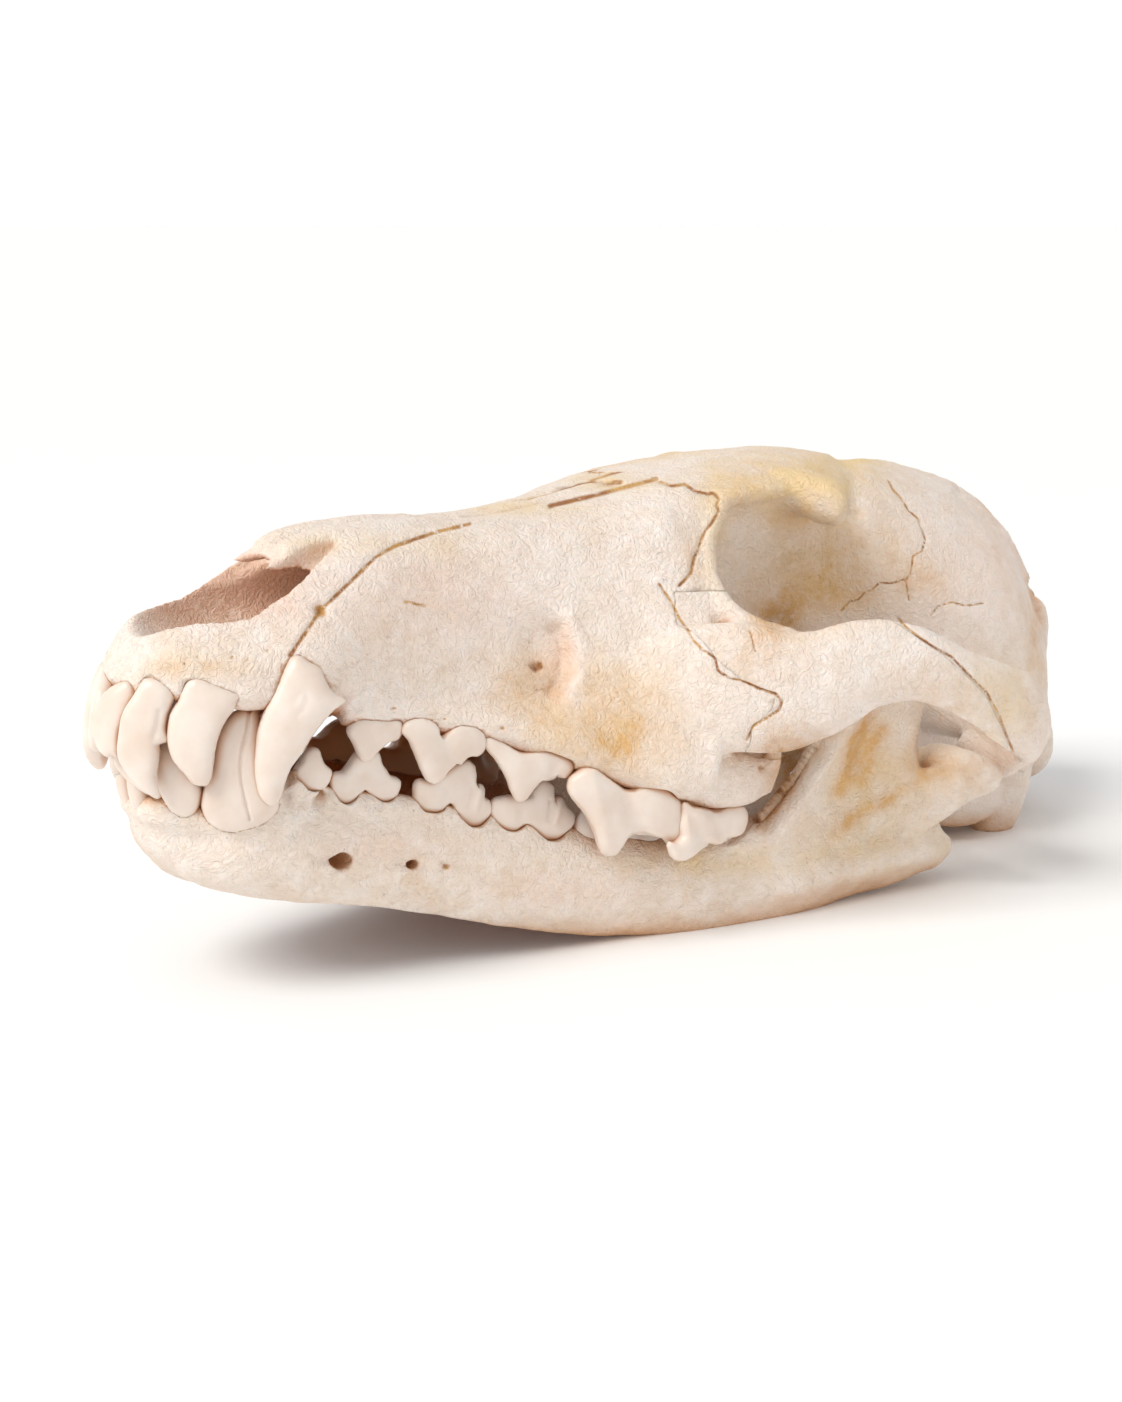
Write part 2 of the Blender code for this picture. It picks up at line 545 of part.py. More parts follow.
def half_jaw(side):
    """One bone of the lower jaw, flat at the chin where it meets the other."""
    pieces = [bar(JAW, side), upright(PLATE, side), bar(KNUCKLE, side)]
    hollows = [ball(*CHEWING_HOLLOW, side)]
    for (x, y, z), radius in CHIN_HOLES:
        hollows.append(ball((x + 3.0, y, z), (4.5, radius * 1.3, radius * 0.8), side))
    jaw = grown_together(pieces, hollows, 4, JAW_FACES)
    low, high = sorted((GAP / 2 * side, -60.0 * side))
    return largest(merged(jaw, [block((low, -40.0, -60.0), (high, 80.0, 20.0))]))


def with_teeth(made, fangs, crowns, up, sides):
    """The bone with its teeth joined on, cut flat where it stands on the floor."""
    teeth = []
    for side in sides:
        for outward, rows in fangs:
            teeth.append(bar(rows, side, sides=8, step=3.4, lengthwise=outward))
        teeth += [crown(row, up, side) for row in crowns]
    merged(made, teeth, "UNION")
    return largest(merged(made, [floor_block()]))


def bone_material(name):
    colour, roughness = BONE_LOOK[name]
    material = bpy.data.materials.new(name)
    material.use_nodes = True
    shader = material.node_tree.nodes["Principled BSDF"]
    shader.inputs["Base Color"].default_value = (*colour, 1)
    shader.inputs["Roughness"].default_value = roughness
    shader.inputs["Metallic"].default_value = 0.0
    return material


def placed(made, name, look):
    """A finished bone: in metres, smooth shaded, named, and set on the pose empty."""
    made.data.transform(Matrix.Scale(MM, 4) @ Matrix.Translation(-PIVOT))
    made.name = name
    made.data.name = name
    made.data.shade_smooth()
    made.data.materials.clear()
    made.data.materials.append(bone_material(look))
    made.hide_render = False
    made.display_type = "TEXTURED"
    workshop.objects.unlink(made)
    skull.objects.link(made)
    made.parent = pose


def set_down():
    """Moves the pose empty so that the origin is under the middle of the skull, on the floor."""
    bpy.context.view_layer.update()
    corners = []
    for made in skull.objects:
        corners += [made.matrix_world @ vert.co for vert in made.data.vertices]
    corners = np.array(corners)
    middle = (corners.min(axis=0) + corners.max(axis=0)) / 2
    pose.location = (-middle[0], -middle[1], FLOOR_DROP * MM)


for old in list(bpy.data.objects):
    bpy.data.objects.remove(old)
skull = bpy.data.collections.new("wolf_skull")
workshop = bpy.data.collections.new("cutters")
for group in (skull, workshop):
    bpy.context.scene.collection.children.link(group)
pose = bpy.data.objects.new("pose", None)
bpy.context.scene.collection.objects.link(pose)
pose.rotation_euler = (-PITCH, 0, 0)

upper, left_cheek, right_cheek = upper_skull()
placed(with_teeth(upper, UPPER_FANGS, UPPER_CROWNS, -1, (1, -1)), "cranium", "cranium_bone")
placed(left_cheek, "zygomatic_left", "cheek_bone")
placed(right_cheek, "zygomatic_right", "cheek_bone")
for side, name in ((1, "mandible_left"), (-1, "mandible_right")):
    placed(with_teeth(half_jaw(side), LOWER_FANGS, LOWER_CROWNS, 1, (side,)), name, "jaw_bone")
set_down()
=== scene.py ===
"""A wolf's skull with its jaws closed, on a white floor: the looks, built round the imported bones.

Sizes are millimetres in the skull's own frame, as in the part's source: x is the side, with the
animal's left at +x, y runs from the front of the upper jaw to the back of the head, and z is up
from the upper gum line.
"""

import json
import math

import bmesh
import bpy
import numpy as np
from mathutils import Matrix, Vector
from mathutils.geometry import delaunay_2d_cdt

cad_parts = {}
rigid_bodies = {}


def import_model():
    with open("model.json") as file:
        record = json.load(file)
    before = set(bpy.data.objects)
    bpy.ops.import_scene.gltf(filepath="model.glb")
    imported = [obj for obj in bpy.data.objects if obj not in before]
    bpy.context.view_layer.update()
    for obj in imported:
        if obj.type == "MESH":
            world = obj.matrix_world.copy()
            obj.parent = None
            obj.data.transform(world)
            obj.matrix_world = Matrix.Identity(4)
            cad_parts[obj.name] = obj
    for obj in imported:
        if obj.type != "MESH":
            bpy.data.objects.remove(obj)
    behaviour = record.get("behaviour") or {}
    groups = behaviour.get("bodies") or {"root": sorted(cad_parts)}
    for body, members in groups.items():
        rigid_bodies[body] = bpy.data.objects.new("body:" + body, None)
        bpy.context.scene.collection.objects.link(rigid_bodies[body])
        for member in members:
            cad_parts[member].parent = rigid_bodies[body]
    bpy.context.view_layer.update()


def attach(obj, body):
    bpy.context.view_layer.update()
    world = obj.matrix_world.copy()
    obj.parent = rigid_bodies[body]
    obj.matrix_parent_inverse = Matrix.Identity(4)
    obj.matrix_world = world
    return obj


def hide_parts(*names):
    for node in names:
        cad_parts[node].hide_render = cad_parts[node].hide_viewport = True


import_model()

# How the skull lies, and the camera of the photograph.
# The skull rests on its lower jaw and on the bony points behind its ears, so the snout is tipped
# up. The camera looks at its left front from a little above.
MM = 0.001
PIVOT = np.array((0.0, 130.0, 20.0))
STAND = np.array((0.0, 3.35, 55.0))  # where that point stands in the frame
PITCH = math.radians(11.0)
TIP = np.array(Matrix.Rotation(-PITCH, 3, "X"))
AZIMUTH, ELEVATION = math.radians(53.0), math.radians(13.0)
DISTANCE = 480.0  # from the pivot to the camera
FOCAL = 2076.88  # in pixels of the photograph
PHOTO = np.array((1122.0, 1402.0))
OFFSET = (-20.14, -12.30)  # of the camera, to its right and up
SENSOR = 36.0

back = np.array((
    math.sin(AZIMUTH) * math.cos(ELEVATION),
    -math.cos(AZIMUTH) * math.cos(ELEVATION),
    math.sin(ELEVATION),
))
right = np.array((math.cos(AZIMUTH), math.sin(AZIMUTH), 0.0))
up = np.cross(back, right)


def placed(name, data):
    """A new object of the scene."""
    made = bpy.data.objects.new(name, data)
    bpy.context.scene.collection.objects.link(made)
    return made


camera = placed("photo_camera", bpy.data.cameras.new("photo_camera"))
bpy.context.scene.camera = camera
camera.data.sensor_fit = "VERTICAL"
camera.data.sensor_height = SENSOR
camera.data.lens = FOCAL / PHOTO[1] * SENSOR
camera.data.clip_start = 0.01
axes = Matrix(np.column_stack([right, up, back]).tolist())
seat = (STAND + right * OFFSET[0] + up * OFFSET[1] + back * DISTANCE) * MM
camera.matrix_world = Matrix.Translation(seat) @ axes.to_4x4()


def in_photo(points):
    """Where points of the skull's left side, or mirrored ones of its right, are in the photograph."""
    turned = (points - PIVOT) @ TIP.T
    depth = DISTANCE - turned @ back
    across = FOCAL * (turned @ right - OFFSET[0]) / depth
    above = FOCAL * (turned @ up - OFFSET[1]) / depth
    return np.column_stack([PHOTO[0] / 2 + across, PHOTO[1] / 2 - above]), depth / FOCAL


# The upper skull, without its cheek bones.
# One thick closed bone with a nose passage, eye sockets open behind, and the muscle gaps inside
# the cheek arches. It carries the upper teeth in sockets, and rests on the bony points below.
CORE = (  # y, top, then (x, z) of the brow edge, side, waist and lower edge, and the bottom
    (-1.5, 10.0, (4.5, 9.8), (7.0, 8.6), (7.8, 6.6), (5.0, 4.6), 4.4),
    (2.0, 15.2, (7.0, 14.6), (10.5, 12.0), (12.0, 8.6), (9.0, 5.2), 4.6),
    (10.0, 20.5, (9.6, 19.8), (14.5, 14.8), (17.0, 9.4), (13.5, 5.0), 4.2),
    (20.0, 27.6, (10.2, 26.6), (16.6, 19.2), (21.4, 10.6), (17.0, 4.2), 3.5),
    (28.0, 33.3, (10.2, 31.6), (17.2, 23.5), (23.6, 11.0), (19.0, 4.0), 3.5),
    (40.0, 38.0, (10.5, 36.3), (17.5, 27.0), (22.8, 11.0), (19.0, 3.0), 3.5),
    (55.0, 41.3, (11.5, 39.8), (18.5, 30.0), (23.0, 11.0), (20.5, 3.0), 4.0),
    (70.0, 44.0, (12.5, 42.7), (20.0, 33.0), (25.6, 10.0), (24.0, 1.0), 4.0),
    (85.0, 47.6, (14.0, 46.0), (22.0, 37.0), (31.0, 9.5), (30.0, -2.0), 4.0),
    (98.0, 51.8, (16.0, 49.8), (25.0, 41.0), (38.0, 8.5), (36.5, -5.0), 3.5),
    (109.0, 55.6, (18.5, 54.0), (28.5, 45.0), (44.0, 10.5), (40.0, -7.5), 2.5),
    (116.0, 58.0, (20.5, 56.2), (31.0, 42.0), (44.5, 14.0), (39.0, -7.5), 1.0),
    (121.5, 60.0, (21.8, 57.8), (24.0, 50.0), (21.0, 24.0), (24.0, -7.0), 0.0),
    (132.0, 63.8, (24.0, 60.6), (21.0, 50.0), (16.5, 24.0), (16.0, -6.0), -2.0),
    (145.0, 67.6, (22.0, 63.0), (19.0, 50.0), (15.5, 26.0), (13.0, -6.0), -3.0),
    (158.0, 70.2, (17.5, 66.0), (19.0, 52.0), (17.0, 30.0), (13.0, -6.0), -3.5),
    (170.0, 71.0, (15.5, 66.4), (22.0, 52.0), (21.0, 30.0), (13.0, -4.0), -4.0),
    (184.0, 71.0, (15.5, 65.4), (27.0, 48.0), (27.0, 26.0), (16.0, -2.0), -4.5),
    (200.0, 70.8, (16.5, 64.2), (32.0, 43.0), (32.5, 22.0), (20.0, -4.0), -5.0),
    (215.0, 69.6, (16.5, 61.8), (33.3, 40.0), (34.0, 20.0), (23.0, -5.0), -6.0),
    (229.0, 66.6, (15.5, 57.6), (29.5, 37.0), (32.5, 18.0), (25.0, -4.0), -6.0),
    (240.0, 60.6, (13.0, 50.4), (24.0, 33.0), (27.5, 17.0), (22.0, -2.0), -4.0),
    (249.0, 53.4, (10.5, 42.0), (17.0, 29.0), (21.0, 16.0), (17.0, 2.0), -1.0),
    (257.0, 44.0, (6.5, 34.0), (10.5, 25.0), (13.0, 15.5), (10.5, 7.0), 4.0),
)
# Bars of one side: the middle (x, y, z), then half the thickness and half the height.
ARCH = (
    ((30.0, 96.0, 12.0), 3.0, 8.0),
    ((38.0, 108.0, 15.0), 5.5, 13.5),
    ((45.0, 117.0, 17.8), 5.6, 14.0),
    ((50.5, 124.0, 18.4), 4.6, 13.2),
    ((55.0, 131.5, 21.4), 4.0, 11.6),
    ((59.0, 140.0, 26.6), 3.7, 10.0),
    ((62.6, 149.0, 28.2), 3.5, 8.4),
    ((65.6, 159.0, 26.4), 3.4, 7.2),
    ((67.0, 169.0, 24.0), 3.3, 7.8),
    ((66.4, 180.0, 20.8), 3.4, 8.8),
    ((63.0, 190.0, 17.4), 3.8, 8.4),
    ((57.5, 198.0, 14.4), 4.4, 7.2),
    ((49.0, 201.0, 13.4), 5.0, 6.0),
    ((38.0, 201.0, 14.6), 6.2, 6.2),
    ((26.0, 200.0, 17.0), 8.0, 9.0),
)
TUBER = (
    ((27.0, 90.0, 3.0), 2.5, 3.0),
    ((35.5, 106.0, 0.0), 5.5, 7.0),
    ((40.0, 117.0, -1.8), 5.2, 7.2),
    ((41.2, 126.0, -1.4), 4.8, 7.0),
    ((39.8, 132.0, -0.8), 4.0, 6.4),
    ((36.0, 137.0, -0.5), 3.0, 4.0),
)
STRUT = (
    ((48.0, 126.5, 10.0), 2.0, 2.0),
    ((46.0, 130.5, 3.0), 1.8, 1.8),
    ((41.6, 133.6, -4.6), 2.0, 2.0),
)
BROW = (
    ((12.0, 144.0, 59.6), 9.0, 6.0),
    ((18.0, 148.0, 60.6), 10.0, 5.6),
    ((24.0, 150.6, 60.4), 8.2, 5.2),
    ((28.6, 152.0, 58.8), 5.6, 5.0),
    ((32.4, 153.4, 56.6), 2.8, 3.0),
)
EYE_RIM = (
    ((23.5, 142.0, 60.6), 2.6, 2.2),
    ((23.6, 132.0, 58.6), 2.4, 2.2),
    ((23.8, 124.6, 56.4), 2.2, 2.2),
    ((26.0, 119.8, 50.0), 2.2, 2.4),
    ((28.8, 117.4, 43.6), 2.3, 2.6),
    ((31.6, 116.8, 38.6), 2.4, 2.8),
    ((36.0, 117.6, 33.8), 2.4, 3.0),
    ((43.0, 120.6, 30.4), 2.4, 3.0),
    ((50.0, 127.0, 29.4), 2.2, 2.6),
)
SAGITTAL = (
    ((0.0, 176.0, 69.0), 2.2, 2.4),
    ((0.0, 205.0, 68.8), 1.8, 3.0),
    ((0.0, 228.0, 65.0), 1.7, 3.4),
    ((0.0, 244.0, 56.5), 1.8, 4.0),
    ((0.0, 256.0, 45.5), 2.6, 4.0),
)
NUCHAL = (
    ((0.0, 257.5, 43.5), 3.0, 2.6),
    ((9.0, 253.5, 40.5), 2.4, 2.0),
    ((18.0, 245.5, 33.0), 2.2, 2.0),
    ((25.0, 236.5, 24.0), 2.4, 2.0),
    ((31.0, 230.0, 12.0), 3.4, 3.0),
    ((33.0, 227.0, 1.0), 3.0, 2.8),
)
FOOT = (  # the bony point behind the ear, on which the skull rests
    ((24.0, 232.5, 5.0), 6.6, 8.0),
    ((23.0, 233.5, -4.0), 6.8, 8.4),
    ((22.0, 234.5, -10.0), 6.2, 7.6),
    ((21.0, 235.5, -16.0), 4.8, 6.0),
)
PTERYGOID = (
    ((15.0, 118.0, -4.0), 3.0, 6.0),
    ((13.0, 135.0, -8.0), 2.6, 9.0),
    ((12.0, 152.0, -9.5), 2.4, 9.0),
    ((12.0, 166.0, -11.0), 2.2, 6.5),
    ((11.5, 176.0, -13.0), 1.8, 2.8),
)
SOCKET_LIP = (
    ((40.0, 198.6, 9.0), 4.5, 4.0),
    ((50.0, 199.0, 6.6), 2.8, 4.8),
    ((58.0, 197.0, 9.0), 2.4, 3.0),
)
GUM_EDGE = (  # the low edge of bone in which the upper cheek teeth stand
    ((20.0, 37.0, 4.6), 2.6, 3.6),
    ((23.0, 55.0, 4.4), 2.8, 3.8),
    ((27.0, 72.0, 3.6), 3.2, 4.2),
    ((33.0, 90.0, 1.0), 4.0, 5.0),
    ((38.0, 108.0, -2.6), 4.4, 5.6),
)
BALLS = (  # the ear bone and the joint knob at the nape: the middle and the three radii
    ((19.5, 219.5, -6.5), (11.0, 17.0, 9.6)),
    ((11.5, 255.0, 4.5), (7.5, 7.5, 9.0)),
)
NOSE = (
    ((0.0, -8.0, 23.4), 7.6, 8.6),
    ((0.0, 3.0, 22.5), 9.0, 9.2),
    ((0.0, 10.0, 21.5), 11.8, 9.6),
    ((0.0, 18.0, 21.0), 14.2, 9.6),
    ((0.0, 25.0, 20.8), 13.4, 9.4),
    ((0.0, 34.0, 23.0), 11.0, 9.5),
    ((0.0, 50.0, 25.0), 9.5, 9.5),
    ((0.0, 72.0, 27.0), 7.0, 9.0),
)
NOSE_FRINGE = ((0.0, 21.5, 30.5), (7.5, 4.8, 3.0))  # clears the thin edge of the roof
NOSE_SLOT = (
    ((9.0, 17.0, 24.0), 5.6, 5.4),
    ((10.5, 24.0, 28.0), 3.9, 5.0),
    ((9.8, 29.0, 31.2), 2.9, 4.2),
    ((8.9, 33.2, 34.0), 1.8, 3.4),
    ((8.0, 37.4, 36.8), 0.9, 2.2),
)
NOSE_BONE = (  # the thin roof over the nose opening, added after the nose is hollowed
    ((4.5, 27.0, 33.0), 2.2, 1.0),
    ((4.2, 29.0, 33.8), 3.2, 1.6),
    ((4.0, 36.0, 36.4), 3.6, 1.8),
    ((4.0, 48.0, 39.4), 4.0, 1.8),
    ((4.0, 62.0, 41.8), 4.0, 1.4),
)
FRONT_GUM = (  # and the one in which the upper front teeth stand
    ((-1.0, -0.2, 5.6), 2.4, 3.0),
    ((4.0, 0.2, 5.6), 2.8, 3.2),
    ((9.6, 3.4, 5.8), 3.0, 3.4),
    ((14.2, 9.6, 6.2), 3.0, 3.4),
    ((18.4, 17.0, 6.2), 2.8, 3.4),
    ((21.0, 24.0, 8.0), 2.6, 3.4),
)
NAPE_HOLE = (  # the opening for the spine
    ((0.0, 280.0, 13.0), 11.0, 8.5),
    ((0.0, 258.0, 12.0), 11.5, 9.0),
    ((0.0, 240.0, 12.0), 9.0, 8.0),
)
KNUCKLE = (  # the joint of the lower jaw, which the upper skull is cut clear of
    ((36.5, 186.0, 2.6), 2.0, 2.2),
    ((40.0, 186.0, 3.2), 3.6, 4.2),
    ((50.0, 186.6, 3.8), 4.2, 4.8),
    ((57.0, 187.4, 3.2), 3.6, 4.0),
    ((60.0, 188.0, 2.8), 1.8, 2.2),
)
CHEEK_FRONT = (  # the seam in front of the cheek bone, as (y, z)
    (130.0, 37.6), (117.0, 37.2), (107.0, 35.6), (106.4, 29.4), (110.0, 23.4), (114.6, 19.8),
    (120.6, 18.4), (120.4, 15.0), (118.0, 10.6), (119.4, 5.0), (127.0, 3.2), (142.0, 5.0),
)
CHEEK_FRONT_X = 30.5  # how far out the front seam's flat side is
CHEEK_FRONT_SIDE = ((105.0, 3.4), (128.0, 37.8))  # that side's corners, as (y, z)
CHEEK_REAR = (  # the slanting seam at its rear
    (139.0, 44.0), (143.0, 36.8), (152.0, 32.2), (161.0, 27.0), (169.5, 21.6), (177.0, 15.2),
    (184.0, 9.6), (192.0, 2.0),
)
CHEEK_REAR_X = 46.0  # where that seam's cutter starts, inside the arch
PAST_CHEEK = 85.0  # where the cutters end, outside the cheek arch
JOINT_ROOM = 0.5  # between the knuckle of the lower jaw and its socket
GAP = 0.06  # between two bones at a seam
VOXEL = 0.6  # the grain of the skin that joins the forms of a bone
ROUNDS = 14  # of smoothing
MOST_FACES = 190000
MOST_CHEEK_FACES = 60000

workshop = bpy.data.collections.new("workshop")
bpy.context.scene.collection.children.link(workshop)


def through(keys, values, at):
    """Values on a smooth curve through the given ones, at the places asked for."""
    keys = np.asarray(keys, float)
    values = np.asarray(values, float).reshape(len(keys), -1)
    slope = np.gradient(values, keys, axis=0)
    found = np.clip(np.searchsorted(keys, at, side="right") - 1, 0, len(keys) - 2)
    span = (keys[found + 1] - keys[found])[:, None]
    t = (np.asarray(at, float)[:, None] - keys[found][:, None]) / span
    start = values[found] * (1 + 2 * t) + slope[found] * span * t
    end = values[found + 1] * (3 - 2 * t) - slope[found + 1] * span * (1 - t)
    return start * (1 - t) ** 2 + end * t**2


def finish(name, form):
    """A mesh object in the workshop, from a bmesh with its faces turned outward."""
    bmesh.ops.recalc_face_normals(form, faces=form.faces)
    mesh = bpy.data.meshes.new(name)
    form.to_mesh(mesh)
    form.free()
    made = bpy.data.objects.new(name, mesh)
    workshop.objects.link(made)
    return made


def loft(name, rings):
    """A closed mesh through rings of points, with a point at the middle of each end."""
    rings = np.asarray(rings, float)
    count, sides = rings.shape[:2]
    points = np.vstack([rings.reshape(-1, 3), rings[0].mean(axis=0), rings[-1].mean(axis=0)])
    faces = []
    for ring in range(count - 1):
        for i in range(sides):
            a, b = ring * sides + i, ring * sides + (i + 1) % sides
            faces.append((a, b, b + sides, a + sides))
    for ring, tip in ((0, count * sides), (count - 1, count * sides + 1)):
        for i in range(sides):
            faces.append((tip, ring * sides + i, ring * sides + (i + 1) % sides))
    mesh = bpy.data.meshes.new(name)
    mesh.from_pydata(points.tolist(), [], faces)
    form = bmesh.new()
    form.from_mesh(mesh)
    bpy.data.meshes.remove(mesh)
    return finish(name, form)


def core(rows, step=1.5, sides=96):
    """The closed body of the upper skull: smooth rings through the half sections."""
    y = np.array([row[0] for row in rows])
    half = np.array([[(0, row[1]), *row[2:6], (0, row[6])] for row in rows], float)
    places = np.linspace(y[0], y[-1], int((y[-1] - y[0]) / step))
    half = through(y, half.reshape(len(rows), -1), places).reshape(len(places), -1, 2)
    rings = []
    for place, side in zip(places, half):
        other = side[-2:0:-1] * (-1, 1)
        outline = np.vstack([other[-1:], side, other, side[:2]])
        knots = np.arange(len(outline)) - 1.0
        xz = through(knots, outline, np.linspace(0, len(outline) - 3, sides, endpoint=False))
        rings.append(np.column_stack([xz[:, 0], np.full(sides, place), xz[:, 1]]))
    return loft("core", rings)


def bar(rows, side=1, grow=0.0, sides=28, step=1.2, lengthwise=(0, 0, 1)):
    """A smooth oval bar along the middle line of the rows, its second half size along lengthwise."""
    middle = np.array([row[0] for row in rows], float)
    half = np.array([row[1:3] for row in rows], float) + grow
    far = np.r_[0, np.cumsum(np.linalg.norm(np.diff(middle, axis=0), axis=1))]
    at = np.linspace(0, far[-1], max(4, int(far[-1] / step) + 1))
    middle = through(far, middle, at)
    half = through(far, half, at)
    ahead = np.gradient(middle, at, axis=0)
    turn = np.arange(sides) * math.tau / sides
    rings = []
    for point, size, way in zip(middle, half, ahead):
        across = np.cross(way, lengthwise)
        across /= np.linalg.norm(across)
        lift = np.cross(across, way)
        lift /= np.linalg.norm(lift)
        ring = point + np.outer(np.cos(turn) * size[0], across) + np.outer(np.sin(turn) * size[1], lift)
        rings.append(ring * (side, 1, 1))
    return loft("bar", rings)


def ball(middle, radii, side=1):
    """A rounded lump, or a cutter for a rounded hollow."""
    form = bmesh.new()
    place = Matrix.Translation((middle[0] * side, *middle[1:])) @ Matrix.Diagonal((*radii, 1))
    bmesh.ops.create_icosphere(form, subdivisions=4, radius=1.0, matrix=place)
    return finish("ball", form)


def block(low, high):
    """A box between two corners."""
    low, high = Vector(low), Vector(high)
    form = bmesh.new()
    place = Matrix.Translation((low + high) / 2) @ Matrix.Diagonal((*(high - low), 1))
    bmesh.ops.create_cube(form, size=1.0, matrix=place)
    return finish("block", form)


def ribbon(points, thick, x_from, x_to):
    """A thin upright cutter that follows (y, z) points, from one x to another."""
    points = np.array(points, float)
    ahead = np.gradient(points, axis=0)
    normal = np.column_stack([-ahead[:, 1], ahead[:, 0]])
    normal *= thick / 2 / np.linalg.norm(normal, axis=1)[:, None]
    rings = []
    for middle, off in zip(points, normal):
        corners = (middle + off, middle - off, middle - off, middle + off)
        x = (x_from, x_from, x_to, x_to)
        rings.append([(place, *corner) for place, corner in zip(x, corners)])
    return loft("ribbon", rings)


def floor_block():
    """A cutter whose top is the floor, in the skull's own frame."""
    wide, deep = 400.0, 60.0
    made = block((-wide / 2, -wide / 2, -deep - STAND[2]), (wide / 2, wide / 2, -STAND[2]))
    made.data.transform(Matrix.Translation(PIVOT) @ Matrix.Rotation(PITCH, 4, "X"))
    return made


def settled(made):
    """The object with its modifiers applied."""
    graph = bpy.context.evaluated_depsgraph_get()
    mesh = bpy.data.meshes.new_from_object(made.evaluated_get(graph))
    made.modifiers.clear()
    made.data = mesh
    return made


def cut_by(made, others):
    """The object with the others cut out of it in one Boolean, and the others removed."""
    helpers = bpy.data.collections.new("helpers")
    workshop.children.link(helpers)
    for other in others:
        workshop.objects.unlink(other)
        helpers.objects.link(other)
    step = made.modifiers.new("cut", "BOOLEAN")
    step.operation = "DIFFERENCE"
    step.solver = "MANIFOLD"
    step.operand_type = "COLLECTION"
    step.collection = helpers
    settled(made)
    for other in others:
        bpy.data.objects.remove(other)
    bpy.data.collections.remove(helpers)
    return made


def skinned(made, voxel=VOXEL):
    """The object with one even skin over all that it holds."""
    skin = made.modifiers.new("skin", "REMESH")
    skin.mode = "VOXEL"
    skin.voxel_size = voxel
    return settled(made)


def softened(made, rounds):
    """The object with its edges worn round."""
    soft = made.modifiers.new("soft", "SMOOTH")
    soft.factor = 0.5
    soft.iterations = rounds
    return settled(made)


def together(name, pieces):
    """One object of all the pieces, which may cross one another."""
    form = bmesh.new()
    for piece in pieces:
        form.from_mesh(piece.data)
        bpy.data.objects.remove(piece)
    return finish(name, form)


def grown(name, pieces, hollows, rounds, late=()):
    """The pieces made one skin, hollowed, with the late ones added, and smoothed as bone is."""
    made = cut_by(skinned(together(name, pieces)), hollows)
    return softened(skinned(together(name, [made, *late])), rounds)


def parts_of(made, most=1):
    """The largest closed surfaces of an object as separate objects, the largest first."""
    count = len(made.data.vertices)
    edges = np.empty(len(made.data.edges) * 2, int)
    made.data.edges.foreach_get("vertices", edges)
    edges = edges.reshape(-1, 2)
    mark = np.arange(count)
    while True:
        low = mark[edges].min(axis=1)
        new = mark.copy()
        np.minimum.at(new, edges[:, 0], low)
        np.minimum.at(new, edges[:, 1], low)
        new = new[new]
        if (new == mark).all():
            break
        mark = new
    groups, sizes = np.unique(mark, return_counts=True)
    found = []
    for group in groups[np.argsort(-sizes)][:most]:
        piece = bmesh.new()
        piece.from_mesh(made.data)
        spare = [vert for vert, its in zip(piece.verts, mark) if its != group]
        bmesh.ops.delete(piece, geom=spare, context="VERTS")
        found.append(finish(made.name, piece))
    bpy.data.objects.remove(made)
    return found


pieces = [core(CORE), bar(SAGITTAL)]
hollows = [bar(NOSE), bar(NAPE_HOLE), ball(*NOSE_FRINGE)]
late = []
for side in (1, -1):
    for rows in (ARCH, TUBER, STRUT, BROW, EYE_RIM, NUCHAL, PTERYGOID, SOCKET_LIP):
        pieces.append(bar(rows, side))
    pieces += [bar(rows, side) for rows in (GUM_EDGE, FRONT_GUM)]
    pieces.append(bar(FOOT, side, lengthwise=(0, 1, 0)))
    pieces += [ball(middle, radii, side) for middle, radii in BALLS]
    hollows.append(bar(NOSE_SLOT, side))
    late.append(bar(NOSE_BONE, side))
whole = grown("upper_skull", pieces, hollows, ROUNDS, late)


def noise_field(points, size, seed):
    """Smooth random values from -1 to 1 over space, whose bumps are about size across."""
    cells = 32
    table = np.random.default_rng(seed).random((cells, cells, cells)) * 2 - 1
    place = np.asarray(points) / size + 0.37 * seed
    low = np.floor(place).astype(int)
    part = place - low
    part = part * part * (3 - 2 * part)
    value = np.zeros(len(place))
    for corner in range(8):
        step = np.array([corner >> 2 & 1, corner >> 1 & 1, corner & 1])
        weight = np.prod(np.where(step, part, 1 - part), axis=1)
        value += weight * table[tuple(((low + step) % cells).T)]
    return value


def surface_of(made):
    """The points of a mesh and the way each faces."""
    count = len(made.data.vertices)
    points, normals = np.empty(count * 3), np.empty(count * 3)
    made.data.vertices.foreach_get("co", points)
    made.data.vertices.foreach_get("normal", normals)
    return points.reshape(-1, 3), normals.reshape(-1, 3)


def swollen(made, by):
    """The object with its skin moved outward."""
    points, normals = surface_of(made)
    made.data.vertices.foreach_set("co", (points + normals * by).ravel())
    made.data.update()
    return made


def seen(points, normals):
    """For each point of a side, its place in the photograph, millimetres to a pixel there and how
    squarely it faces the camera. The right side is read as the mirror of the left."""
    mirror = np.where(points[:, :1] < 0, -1.0, 1.0) * (1, 0, 0) + (0, 1, 1)
    spots, scale = in_photo(points * mirror)
    return spots, scale, (normals * mirror) @ (TIP.T @ back)


def nearness(spots, scale, line):
    """Millimetres from each place to a line through pixels."""
    line = np.array(line, float)
    nearest = np.full(len(spots), np.inf)
    for start, end in zip(line, line[1:]):
        length = np.linalg.norm(end - start)
        way = (end - start) / length
        t = np.clip((spots - start) @ way, 0, length)
        nearest = np.minimum(nearest, np.linalg.norm(spots - start - t[:, None] * way, axis=1))
    return nearest * scale


